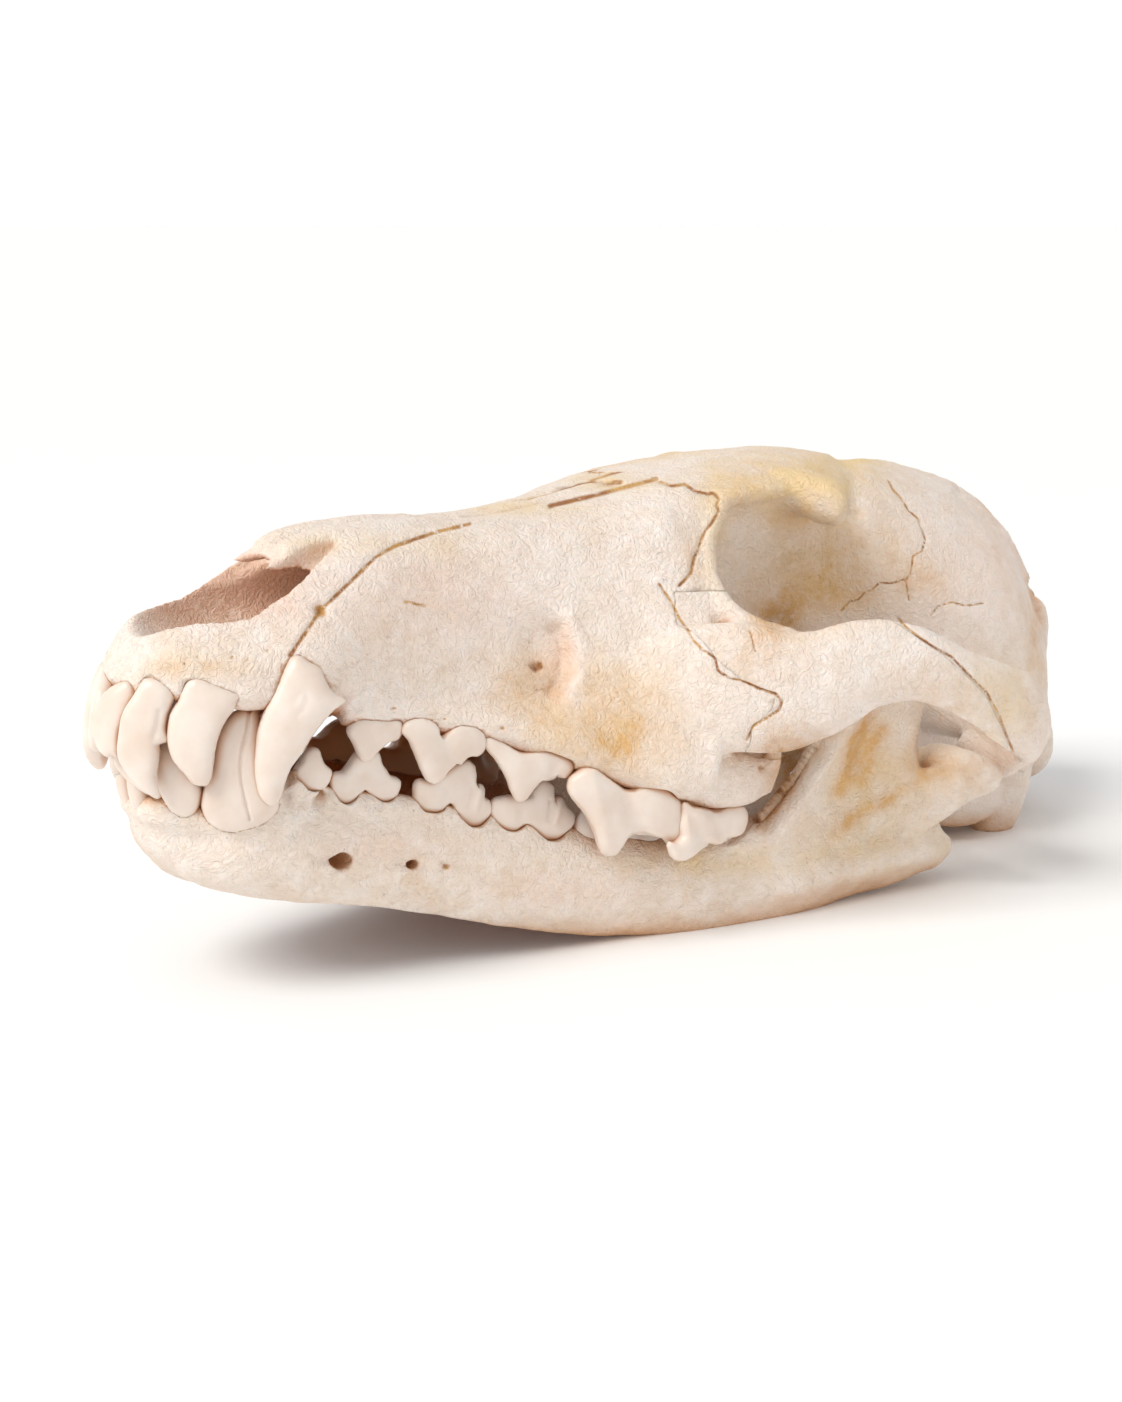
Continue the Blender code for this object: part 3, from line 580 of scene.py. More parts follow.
def unsteady(points, seed):
    """How far a line strays from its course, in millimetres, as a seam of bone does."""
    return noise_field(points, 2.2, seed) * 0.22 + noise_field(points, 0.9, seed + 1) * 0.12


def carved(made, strokes, seed):
    """Sutures, cracks, pores and swellings sunk or raised along lines of the photograph."""
    points, normals = surface_of(made)
    spots, scale, facing = seen(points, normals)
    sink = np.zeros(len(points))
    wander = unsteady(points, seed)
    for _, width, depth, line in strokes:
        line = np.array(line, float)
        reach = 3 * width / scale.min()
        box = ((spots > line.min(axis=0) - reach) & (spots < line.max(axis=0) + reach)).all(axis=1)
        box &= facing > -0.1
        if not box.any():
            continue
        off = nearness(spots[box], scale[box], line) + wander[box] * min(1.0, width)
        sink[box] += depth * np.exp(-((off / width) ** 2))
    return swollen(made, -sink[:, None])


UNEVENNESS = ((11.0, 0.22), (5.0, 0.132), (2.0, 0.08))  # how wide the bumps are, and how high


def rumpled(made, seed):
    """The gentle unevenness of dry bone."""
    points, _ = surface_of(made)
    rise = sum(high * noise_field(points, wide, seed + i) for i, (wide, high) in enumerate(UNEVENNESS))
    return swollen(made, rise[:, None])


def thinned(made, most):
    """The object with at most that many triangles."""
    faces = sum(len(face.vertices) - 2 for face in made.data.polygons)
    if faces > most:
        thin = made.modifiers.new("thin", "DECIMATE")
        thin.ratio = most / faces
        settled(made)
    return made


WIDEST_GROOVE = 1.0  # wider marks are hollows and keep the colour of the bone
STREAK = 1.7  # half the width of a stain along a line
INWARD = (0.0, 0.625)  # how far a face looks inward where the painted shade of the mouth starts and is full
UNDER = (0.154, 0.923)  # or how far down
MOUTH_SIDE, MOUTH_TOP = (34.0, 28.0), (12.0, 8.0)  # the places where that painted shade starts and is full
MOUTH_FRONT, MOUTH_REAR = (18.0, 26.0), (150.0, 130.0)
PALATE = -10.0  # faces that look down get painted shade above this height
NOSE_AXIS = 22.5  # the height of the middle of the nose passage
NOSE_LIMITS = (14.5, 11.0, 36.0, 90.0)  # its side, floor, roof and end
NOSE_FRONT = (2.0, 20.0)  # where its painted shade starts and is full
# the colours of the painted shade inside the nose passage, and how strong
NOSE_SHADE = (("blush", 0.9), ("ochre", 0.7), ("dark", 0.2))


def shade_between(value, none, full):
    """0 where the value is none, 1 where it is full, and in step between and beyond them."""
    return np.clip((value - none) / (full - none), 0, 1)


def painted(made, stains_and_shade, strokes, seed):
    """Point values for the material: stain and painted shade of four kinds, the seams, and painted
    shade between the jaws.
    """
    points, normals = surface_of(made)
    spots, scale, facing = seen(points, normals)
    values = {name: np.zeros(len(points)) for name in ("ochre", "yellow", "dark", "blush", "seam_stain_and_hole_shade")}
    patchy = 0.75 + 0.35 * noise_field(points, 7.0, seed) + 0.3 * noise_field(points, 2.5, seed + 3)
    for kind, strength, *place in stains_and_shade:
        if len(place) == 2:
            off = (((spots - place[0]) / place[1]) ** 2).sum(axis=1)
        else:
            off = (nearness(spots, scale, place) / STREAK) ** 2
        values[kind] += strength * np.exp(-off) * np.clip(facing * 4 + 0.6, 0, 1) * patchy
    wander = unsteady(points, seed)
    for _, width, depth, line in strokes:
        # Raised marks are cleared of stain, so ridges read paler: partly the bone's own colour and partly
        # painted light on the ridges.
        if depth < 0:
            off = nearness(spots, scale, line)
            for kind in ("ochre", "yellow", "dark"):
                values[kind] *= 1 - 0.8 * np.exp(-((off / width) ** 2))
        # Narrow sunk marks take the seam colour: the sutures' own stain, and painted shade in the pores and
        # small holes.
        elif width <= WIDEST_GROOVE:
            off = nearness(spots, scale, line) + wander * min(1.0, width)
            near = (1 - abs(off) / (4 * width)) * (facing > 0)
            values["seam_stain_and_hole_shade"] = np.maximum(values["seam_stain_and_hole_shade"], near)
    # Painted shade inside the mouth: faces there that look inward or down are coloured brown.
    x, y, z = points.T
    facing_in_shade = shade_between(-normals[:, 0] * np.sign(x), *INWARD)
    facing_down_shade = shade_between(-normals[:, 2], *UNDER) * (z > PALATE)
    mouth_shade = shade_between(abs(x), *MOUTH_SIDE) * shade_between(z, *MOUTH_TOP)
    mouth_shade *= shade_between(y, *MOUTH_FRONT) * shade_between(y, *MOUTH_REAR)
    values["mouth_shade"] = np.maximum(facing_in_shade, facing_down_shade) * mouth_shade
    # Painted shade inside the nose passage: faces that look into it are tinted pink, ochre and dark.
    wide, low, high, end = NOSE_LIMITS
    nose_passage_shade = shade_between(-normals[:, 0] * x - normals[:, 2] * (z - NOSE_AXIS), 0, 3)
    nose_passage_shade *= shade_between(y, *NOSE_FRONT) * (y < end) * (abs(x) < wide) * (z > low) * (z < high)
    for kind, strength in NOSE_SHADE:
        values[kind] += strength * nose_passage_shade * patchy
    for name, value in values.items():
        layer = made.data.attributes.new(name, "FLOAT", "POINT")
        layer.data.foreach_set("value", np.clip(value, 0, 1))
    return made


def laid(made, name, material, *nodes):
    """The finished piece: set in the frame, in metres, with its material, riding on the part."""
    place = (
        Matrix.Translation(STAND * MM)
        @ Matrix.Rotation(-PITCH, 4, "X")
        @ Matrix.Scale(MM, 4)
        @ Matrix.Translation(-PIVOT)
    )
    made.data.transform(place)
    made.data.shade_smooth()
    made.data.materials.clear()
    made.data.materials.append(material)
    made.name = name
    made.data.name = name
    workshop.objects.unlink(made)
    bpy.context.scene.collection.objects.link(made)
    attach(made, "root")
    if nodes:
        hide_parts(*nodes)
    return made


def linear(code):
    """A colour written as sRGB hex, as the shader's linear red, green, blue and 1."""
    parts = [int(code[i:i + 2], 16) / 255 for i in (1, 3, 5)]
    return (*[p / 12.92 if p <= 0.04045 else ((p + 0.055) / 1.055) ** 2.4 for p in parts], 1.0)


def fed(tree, node, values):
    """The node with its sockets set to values, or linked to other sockets."""
    for socket, value in values.items():
        if isinstance(value, bpy.types.NodeSocket):
            tree.links.new(value, node.inputs[socket])
        else:
            node.inputs[socket].default_value = value
    return node


def added(tree, kind, values=(), **settings):
    """A new shader node with its settings and the values of its sockets."""
    made = tree.nodes.new(kind)
    for name, setting in settings.items():
        setattr(made, name, setting)
    return fed(tree, made, dict(values))


def shader_of(name):
    """A new material, its node tree and its shader."""
    material = bpy.data.materials.new(name)
    material.use_nodes = True
    return material, material.node_tree, material.node_tree.nodes["Principled BSDF"]


def mixed(tree, factor, first, second, blend="MIX"):
    """The colour socket of a mix of two colours."""
    values = {0: factor, 6: first, 7: second}
    return added(tree, "ShaderNodeMix", values, data_type="RGBA", blend_type=blend).outputs[2]


def ramped(tree, value, low, high, start=0.0, end=1.0):
    """A value spread so that low becomes the start and high the end, within those limits."""
    values = {"Value": value, "From Min": low, "From Max": high, "To Min": start, "To Max": end}
    return added(tree, "ShaderNodeMapRange", values).outputs[0]


def noise_of(tree, place, size, detail, rough=0.5, swirl=0.0):
    """Random values over space, in bumps about size millimetres across."""
    values = {"Vector": place, "Scale": 1 / (size * MM), "Detail": detail, "Roughness": rough}
    return added(tree, "ShaderNodeTexNoise", {**values, "Distortion": swirl}).outputs["Fac"]


def bone_material(name, base, seed):
    """Dry bone: pale, finely pitted, with faint fibres, stained patches and painted shade in its hollows.
    The base is its colour, then that of its broad patches, its pale spots and its speckle."""
    material, tree, shader = shader_of(name)
    place = added(tree, "ShaderNodeTexCoord").outputs["Object"]
    shift = {0: place, 1: (seed, seed, seed)}
    moved = added(tree, "ShaderNodeVectorMath", shift, operation="ADD").outputs[0]

    def noise(size, detail=3.0, rough=0.6, swirl=0.0):
        return noise_of(tree, moved, size, detail, rough, swirl)

    def reckoned(kind, *values):
        return added(tree, "ShaderNodeMath", dict(enumerate(values)), operation=kind).outputs[0]

    def layer(attribute):
        return added(tree, "ShaderNodeAttribute", attribute_name=attribute).outputs["Fac"]

    stretched = added(tree, "ShaderNodeMapping", {"Vector": moved, "Scale": (1.0, 0.35, 1.0)}).outputs[0]
    fibre = noise_of(tree, stretched, 1.1, 4.0, 0.7, 1.2)
    pits = added(tree, "ShaderNodeTexVoronoi", {"Vector": moved, "Scale": 1 / (1.3 * MM)})
    pit = ramped(tree, pits.outputs["Distance"], 0.05, 0.17)
    rare = ramped(tree, noise(7.0), 0.6, 0.5)
    colour = mixed(tree, ramped(tree, noise(22.0), 0.35, 0.7), linear(base[0]), linear(base[1]))
    colour = mixed(tree, ramped(tree, noise(5.0, 5.0), 0.42, 0.72), colour, linear(base[2]))
    speckle = reckoned("MULTIPLY", ramped(tree, fibre, 0.5, 0.78), 0.35)
    colour = mixed(tree, speckle, colour, linear(base[3]))
    ochre = layer("ochre")
    patch = reckoned("MULTIPLY", ochre, ramped(tree, noise(2.2, 6.0, 0.7), 0.30, 0.66))
    colour = mixed(tree, reckoned("MULTIPLY_ADD", ochre, 0.45, patch), colour, linear("#d9a25e"))
    for attribute, code in (("yellow", "#edd0a0"), ("blush", "#f3cdb8"), ("dark", "#7a4a25")):
        colour = mixed(tree, layer(attribute), colour, linear(code))
    # The seam colour: stain along the sutures, painted shade in the pores and small holes.
    broken = ramped(tree, noise(1.8), 0.16, 0.44)
    line = reckoned("MULTIPLY", ramped(tree, layer("seam_stain_and_hole_shade"), 0.7, 0.9), broken)
    seam = mixed(tree, ramped(tree, noise(9.0), 0.4, 0.6), linear("#cf9f5c"), linear("#a0683a"))
    colour = mixed(tree, line, colour, seam)
    # Painted shade on the faces inside the mouth.
    colour = mixed(tree, layer("mouth_shade"), colour, linear("#ad6a34"))
    # Painted shade: the colour turns warmer and darker where other bone closes round it.
    hollow_shade_ao = added(tree, "ShaderNodeAmbientOcclusion", {"Distance": 14 * MM}, samples=8).outputs["AO"]
    deep = ramped(tree, hollow_shade_ao, 0.72, 0.15)
    colour = mixed(tree, deep, colour, mixed(tree, 1.0, colour, linear("#e2ba90"), "MULTIPLY"))
    worms = reckoned("MULTIPLY_ADD", noise(2.2, 2.0, 0.55, 2.4), 2.2, reckoned("MAXIMUM", pit, rare))
    height = reckoned("MULTIPLY_ADD", fibre, 0.9, worms)
    bump = added(tree, "ShaderNodeBump", {"Height": height, "Strength": 0.75, "Distance": 0.45 * MM})
    fed(tree, shader, {
        "Base Color": colour,
        "Roughness": reckoned("MULTIPLY_ADD", fibre, 0.25, 0.42),
        "Specular IOR Level": 0.42,
        "Subsurface Weight": 0.12,
        "Subsurface Radius": (1.0, 0.55, 0.35),
        "Subsurface Scale": 1.2 * MM,
        "Normal": bump.outputs[0],
    })
    return material


PORES = (  # small holes in pixels of the photograph: place and short run, then width and depth
    (197, 657, 0, 0.5, 0.32, 0.5), (184, 663, 0, 0.5, 0.28, 0.45), (232, 657, 0, 0.5, 0.32, 0.5),
    (247, 660, 0, 0.5, 0.28, 0.45), (244, 674, 0, 0.5, 0.28, 0.45), (267, 650, 0, 0.5, 0.28, 0.4),
    (251, 647, 0, 0.5, 0.28, 0.4), (394, 708, 1, 0, 0.35, 0.6), (502, 728, 1, 0, 0.38, 0.6),
    (542, 689, 1, 1, 0.38, 0.6), (444, 719, 1, 0, 0.28, 0.4), (761, 767, 1, 2, 0.5, 1.0),
)
# Marks of the upper skull, in pixels of the photograph: a name, the width and the depth in
# millimetres (less than nothing is raised), and the line.
UPPER_MARKS = (
    ("nose_bone_suture", 0.45, 0.5, ((470, 524), (436, 532), (395, 546), (376, 557), (345, 587), (320, 611),
                                     (290, 656))),
    ("between_nose_bones", 0.7, 0.6, ((452, 516), (509, 508), (546, 498), (582, 485), (620, 482))),
    ("brow_midline", 0.6, 0.5, ((550, 506), (600, 494), (656, 479))),
    ("temple_edge", 2.4, 1.4, ((856, 512), (858, 488), (852, 466), (840, 452))),
    ("crest_edge", 1.5, 1.0, ((960, 491), (998, 529), (1020, 562), (1034, 600), (1035, 639))),
    ("arch_end", 2.0, -1.0, ((1028, 680), (1040, 706), (1043, 730), (1030, 754))),
    ("arch_slot", 1.6, 0.9, ((1000, 706), (1012, 734), (1018, 752))),
    ("brow_suture", 0.4, 0.5, ((660, 482), (672, 486), (685, 484), (694, 491), (707, 494), (714, 493),
                               (719, 499), (716, 505), (719, 511), (711, 524), (705, 531), (701, 540),
                               (698, 550), (694, 558), (691, 573), (679, 586))),
    ("crown_suture", 0.3, 0.22, ((888, 480), (893, 490), (900, 497), (908, 510), (918, 519), (925, 540),
                                 (922, 551), (913, 556), (911, 572), (906, 581), (909, 601))),
    ("wall_suture", 0.3, 0.22, ((906, 579), (893, 583), (879, 583), (872, 590), (865, 592), (858, 600),
                                (850, 601), (841, 611))),
    ("temple_suture", 0.3, 0.22, ((931, 615), (938, 606), (952, 602), (966, 606), (983, 603))),
    ("cheek_suture", 0.35, 0.4, ((659, 584), (666, 594), (672, 603), (679, 618), (687, 629), (694, 641),
                                 (702, 649), (715, 658), (718, 671), (728, 677), (745, 682), (758, 688),
                                 (776, 694), (782, 701), (779, 710), (768, 717), (753, 726), (747, 740))),
    ("arch_suture", 0.35, 0.35, ((898, 618), (906, 627), (920, 638), (939, 650), (952, 657), (962, 668),
                                 (971, 677), (987, 693), (998, 713), (1006, 734), (1013, 751))),
    ("stain_scratch", 0.4, 0.2, ((405, 602), (412, 603), (425, 606))),
    ("canine_root", 9.0, -1.2, ((330, 650), (372, 590))),
    ("hollow_over_premolars", 12.0, 1.0, ((430, 690), (500, 660))),
    ("recess", 5.0, 2.6, ((546, 638), (555, 660), (552, 684))),
    ("recess_edge", 1.5, 1.8, ((561, 626), (569, 650), (568, 674), (558, 690))),
    ("recess_rim", 2.0, -1.0, ((570, 620), (580, 648), (579, 676), (570, 694))),
    ("recess_hole", 0.7, 2.0, ((539, 664), (541, 667))),
    ("recess_front", 9.0, 0.9, ((505, 640), (530, 665))),
    ("suture_hole", 0.9, 1.4, ((319, 609), (322, 613))),
) + tuple(("pore", width, depth, ((across, down), (across + more, down + lower)))
          for across, down, more, lower, width, depth in PORES)
# Stains and painted shade, in pixels of the photograph: the kind, how strong, then the middle and the
# reach of an oval, or three or more points of a streak.
UPPER_STAINS_AND_SHADE = (
    ("ochre", 0.55, (615, 712), (56, 40)),
    ("ochre", 0.6, (620, 745), (45, 25)),
    ("ochre", 0.4, (540, 690), (60, 40)),
    ("yellow", 0.45, (600, 715), (95, 60)),
    ("ochre", 0.45, (200, 668), (45, 10)),
    ("yellow", 0.35, (200, 664), (50, 16)),
    ("ochre", 0.35, (330, 640), (30, 30)),
    ("yellow", 0.8, (790, 475), (80, 30)),
    ("ochre", 0.4, (800, 475), (60, 24)),
    ("yellow", 0.5, (715, 520), (16, 60)),
    ("ochre", 0.4, (740, 490), (40, 20)),
    ("yellow", 0.7, (860, 458), (40, 12)),
    ("yellow", 0.8, (800, 498), (46, 24)),
    ("yellow", 0.7, (842, 482), (12, 36)),
    ("ochre", 0.75, (795, 515), (25, 12)),
    ("ochre", 0.85, (775, 612), (24, 24)),
    ("ochre", 0.7, (815, 585), (50, 34)),
    ("yellow", 0.6, (810, 570), (70, 50)),
    # painted shade in the eye socket
    ("dark", 0.14, (800, 560), (50, 40)),
    ("ochre", 0.35, (845, 545), (60, 50)),
    ("ochre", 0.35, (920, 580), (45, 25)),
    ("yellow", 0.8, (500, 508), (90, 8)),
    ("yellow", 0.8, (620, 484), (60, 8)),
    ("yellow", 0.6, (330, 545), (50, 14)),
    ("yellow", 0.5, (400, 545), (60, 14)),
    ("ochre", 0.3, (690, 560), (12, 30)),
    ("yellow", 0.6, (1005, 700), (34, 40)),
    ("ochre", 0.5, (1035, 690), (12, 60)),
    ("blush", 0.45, (430, 600), (80, 40)),
    ("blush", 0.5, (560, 660), (18, 26)),
    ("blush", 0.8, (235, 590), (70, 34)),
    # the next two: painted shade under the cheek arch
    ("ochre", 1.0, (795, 768), (36, 36)),
    ("dark", 0.45, (795, 770), (32, 34)),
    # a darker spot low in the eye socket
    ("dark", 0.3, (778, 614), (16, 12)),
    # darker at the gum above the canine
    ("dark", 0.22, (272, 690), (16, 22)),
    ("blush", 0.3, (1000, 560), (60, 60)),
    ("ochre", 0.7, (1036, 590), (8, 50)),
    ("ochre", 0.5, (1000, 500), (20, 14)),
)

upper_bone = bone_material("upper_bone", ("#f4e6dc", "#ecd9c8", "#f7ece4", "#dcc0a4"), seed=0.0)
cuts = [floor_block()]
for side in (1, -1):
    low, high = sorted((CHEEK_FRONT_X * side, (CHEEK_FRONT_X + GAP) * side))
    cuts.append(block((low, *CHEEK_FRONT_SIDE[0]), (high, *CHEEK_FRONT_SIDE[1])))
    cuts.append(ribbon(CHEEK_FRONT, GAP, CHEEK_FRONT_X * side, PAST_CHEEK * side))
    cuts.append(ribbon(CHEEK_REAR, GAP, CHEEK_REAR_X * side, PAST_CHEEK * side))
    cuts.append(bar(KNUCKLE, side, grow=JOINT_ROOM))
rumpled(whole, seed=3)
carved(whole, UPPER_MARKS, seed=5)
upper, *cheeks = parts_of(cut_by(whole, cuts), 3)
right_cheek, left_cheek = sorted(cheeks, key=lambda made: made.data.vertices[0].co.x)

# The upper teeth.
# Glossy ivory enamel: three incisors, a canine, four premolars and two molars on each side. Each
# stands in its own socket, which the bone closes round.
UPPER_TEETH = (  # the seen ones: name, a point, the way the outer face looks, half thickness and
    # how round, then the outline as (place along the jaw from the point, height)
    ("first_incisor", (3.3, -2.4, 0.0), (0.45, -0.9), 2.8, 0.9,
     ((-0.3, 4.2), (-2.1, 2.9), (-3.7, 1.0), (-4.7, -1.3), (-4.8, -4.1), (-4.2, -6.5), (-3.1, -8.5),
      (-2.0, -9.6), (-0.7, -10.1), (0.4, -9.3), (1.2, -9.8), (1.7, -8.3), (1.5, -6.0), (2.0, -2.8),
      (2.9, 0.5), (3.4, 2.9), (1.9, 5.0))),
    ("second_incisor", (9.6, 0.6, 0.0), (0.7, -0.7), 3.1, 0.9,
     ((-1.2, 6.3), (-2.1, 4.4), (-3.0, 2.5), (-4.1, 0.2), (-4.7, -2.6), (-4.7, -5.7), (-4.6, -7.7),
      (-3.9, -9.9), (-2.5, -11.6), (-0.9, -13.2), (0.9, -14.5), (2.6, -15.2), (3.7, -15.0),
      (3.7, -13.4), (3.1, -11.6), (3.1, -9.0), (3.0, -6.7), (2.7, -5.6), (3.2, -5.3), (4.0, -5.0),
      (4.5, -4.5), (3.9, -3.1), (3.7, -0.4), (4.2, 2.2), (4.5, 3.8), (3.8, 5.0), (2.3, 5.9), (0.4, 6.6))),
    ("third_incisor", (15.4, 8.6, 0.0), (0.8, -0.6), 3.6, 0.9,
     ((-1.3, 8.0), (-3.1, 7.3), (-3.8, 5.3), (-4.1, 3.3), (-5.2, 1.2), (-5.6, -1.2), (-5.5, -3.7),
      (-4.8, -6.1), (-3.6, -8.3), (-1.8, -9.9), (-0.3, -11.3), (0.6, -12.1), (1.8, -12.3),
      (2.9, -12.1), (3.4, -11.1), (3.5, -8.1), (3.5, -5.2), (3.8, -2.7), (4.4, -0.2), (5.3, 1.8),
      (6.2, 3.3), (6.4, 4.9), (6.9, 5.6), (5.4, 6.3), (3.4, 6.8), (1.5, 7.3), (-0.1, 7.8))),
    ("canine", (23.4, 25.0, 0.0), (0.85, -0.5), 4.6, 1.0,
     ((-2.3, 14.3), (-3.1, 12.7), (-4.0, 9.6), (-4.9, 6.6), (-5.9, 3.9), (-6.5, 1.5), (-6.9, -1.5),
      (-6.7, -4.4), (-6.5, -7.3), (-5.9, -10.2), (-5.0, -12.6), (-3.8, -14.0), (-2.6, -14.7),
      (-1.5, -13.7), (-1.0, -12.1), (-0.6, -9.5), (0.0, -7.0), (1.1, -4.9), (2.3, -2.2), (3.8, 0.9),
      (5.3, 3.5), (6.9, 5.7), (8.6, 7.5), (7.2, 7.9), (5.5, 9.0), (3.9, 11.1), (3.1, 12.6),
      (0.6, 13.6), (-1.0, 14.5))),
    ("first_premolar", (21.4, 38.8, 0.0), (1.0, -0.1), 2.4, 0.9,
     ((-0.2, -0.4), (-0.6, 0.8), (0.3, 2.3), (1.7, 3.0), (4.4, 3.0), (7.2, 3.1), (9.9, 3.5),
      (10.8, 3.0), (11.0, 1.0), (10.3, -0.5), (8.6, -1.0), (7.4, -1.9), (6.2, -3.2), (5.1, -4.7),
      (4.1, -5.3), (2.9, -4.6), (1.7, -2.9), (0.6, -1.3))),
    ("second_premolar", (24.0, 50.8, 0.0), (0.986, -0.166), 2.6, 0.9,
     ((-1.5, 1.4), (-1.1, 2.8), (0.7, 3.8), (3.1, 4.0), (5.0, 3.5), (6.1, 2.4), (6.5, 1.2), (7.2, 0.8),
      (8.2, 1.5), (9.4, 2.6), (11.0, 3.4), (13.3, 3.5), (15.2, 3.1), (16.5, 2.1), (17.0, 0.5),
      (16.8, -1.4), (15.6, -2.3), (14.0, -2.4), (13.0, -3.1), (12.3, -4.2), (11.2, -4.2), (10.2, -4.9),
      (9.2, -6.2), (8.4, -7.9), (7.2, -8.6), (5.7, -8.1), (4.1, -6.2), (2.9, -4.2), (1.4, -1.9),
      (0.0, 0.1))),
    ("third_premolar", (27.4, 68.4, 0.0), (0.97, -0.243), 2.8, 0.9,
     ((-0.9, 1.8), (1.4, 1.2), (4.2, 0.2), (6.6, -0.8), (8.0, -0.9), (9.7, -0.4), (11.6, 0.2),
      (14.2, -0.2), (16.6, -0.8), (18.5, -1.5), (19.2, -2.5), (19.0, -4.0), (18.2, -5.1), (16.9, -5.2),
      (15.9, -4.9), (15.1, -5.6), (13.8, -6.1), (12.7, -6.0), (11.9, -6.7), (10.6, -8.7), (9.6, -10.5),
      (8.5, -11.0), (7.3, -10.0), (6.4, -8.8), (5.1, -6.4), (3.7, -4.6), (1.8, -2.5), (-0.0, -1.0),
      (-1.0, -0.0))),
    ("fourth_premolar", (34.4, 87.8, 0.0), (0.967, -0.254), 3.6, 0.9,
     ((0.3, -2.6), (2.3, -2.6), (4.8, -3.7), (7.1, -4.8), (8.8, -5.7), (10.3, -6.2), (12.2, -6.1),
      (13.9, -5.3), (16.2, -5.1), (18.6, -5.1), (20.6, -5.8), (22.4, -7.0), (24.3, -8.1),
      (24.8, -10.7), (25.0, -13.5), (24.9, -15.7), (24.2, -16.8), (22.5, -16.9), (21.2, -15.9),
      (19.2, -15.6), (16.8, -15.4), (15.2, -15.5), (13.5, -15.4), (12.5, -15.9), (11.8, -17.5),
      (10.9, -19.3), (9.9, -20.2), (8.3, -20.1), (6.9, -18.9), (5.6, -16.6), (4.1, -14.2),
      (2.3, -12.0), (0.1, -10.0), (-1.5, -8.5), (-2.5, -6.4), (-2.3, -5.1), (-1.1, -3.8))),
    ("first_molar", (42.6, 111.6, 0.0), (0.994, 0.11), 4.0, 0.9,
     ((-1.7, -7.6), (0.2, -8.1), (3.6, -8.7), (6.8, -9.0), (10.6, -8.5), (14.1, -8.1), (17.2, -8.6),
      (18.3, -10.3), (18.2, -12.6), (17.9, -13.9), (15.8, -14.8), (13.3, -15.4), (10.3, -16.5),
      (6.7, -16.4), (4.7, -17.5), (2.2, -19.0), (-0.1, -20.0), (-2.1, -19.5), (-3.7, -17.8),
      (-4.7, -16.2), (-2.5, -16.3), (-1.2, -15.2), (-1.6, -12.4), (-1.6, -9.6))),
)
UPPER_CROWNS = (  # the hidden one: the ends at the gum, half the thickness, the edge and the neck
    ((36.0, 127.0, -7.2), (34.6, 133.0, -5.6), 3.4,
     ((0.0, 3.4), (0.3, 5.4), (0.7, 4.0), (1.0, 1.6)), ((0.0, -1.0), (1.0, -1.0))),
)
SMALLEST = 0.8  # the least height of a crown
ROOT = 3.0  # how far its body goes on below its neck
BLUNT = 0.06  # how much of a crown's rounding is left off at its two ends
SOCKET = -0.04  # less than nothing: a socket is this much smaller than its tooth, and grips it
FULLER = 0.3  # makes up for what the skinning takes off a tooth
DOORWAY = (-0.4, 7.0)  # how far a socket is open outward of the tooth's middle
DOORWAY_STEP = 0.6
SHEET_STEP = 0.4  # between the points of a tooth's faces
TOOTH_VOXEL = 0.34
TOOTH_ROUNDS = 4


def crown(row, up_way, side=1, sides=36, steps=44):
    """A cheek tooth: ovals set along the jaw between its neck and its cutting edge."""
    front, rear, thick, edge, neck = row
    front, rear = np.array(front, float), np.array(rear, float)
    at = (1 - np.cos(np.linspace(BLUNT, math.pi - BLUNT, steps))) / 2
    tall = through([place for place, _ in edge], [high for _, high in edge], at)[:, 0]
    low = through([place for place, _ in neck], [deep for _, deep in neck], at)[:, 0] - ROOT
    across = np.cross(rear - front, (0, 0, 1))
    across /= np.linalg.norm(across)
    turn = (np.arange(sides) + 0.5) * math.tau / sides
    rise = np.sin(turn)
    wide = np.sign(np.cos(turn)) * abs(np.cos(turn)) ** 0.8
    narrow = np.where(rise > 0, 1 - 0.4 * rise, 1.0)
    rings = []
    for t, high, deep in zip(at, np.maximum(tall, SMALLEST), low):
        end = (1 - abs(2 * t - 1) ** 4.0) ** 0.5
        middle, half = (high + deep) / 2, (high - deep) / 2 * (0.55 + 0.45 * end)
        ring = front + (rear - front) * t + np.outer(wide * narrow * thick * end, across)
        ring[:, 2] += (middle + rise * half) * up_way
        rings.append(ring * (side, 1, 1))
    return loft("crown", rings)


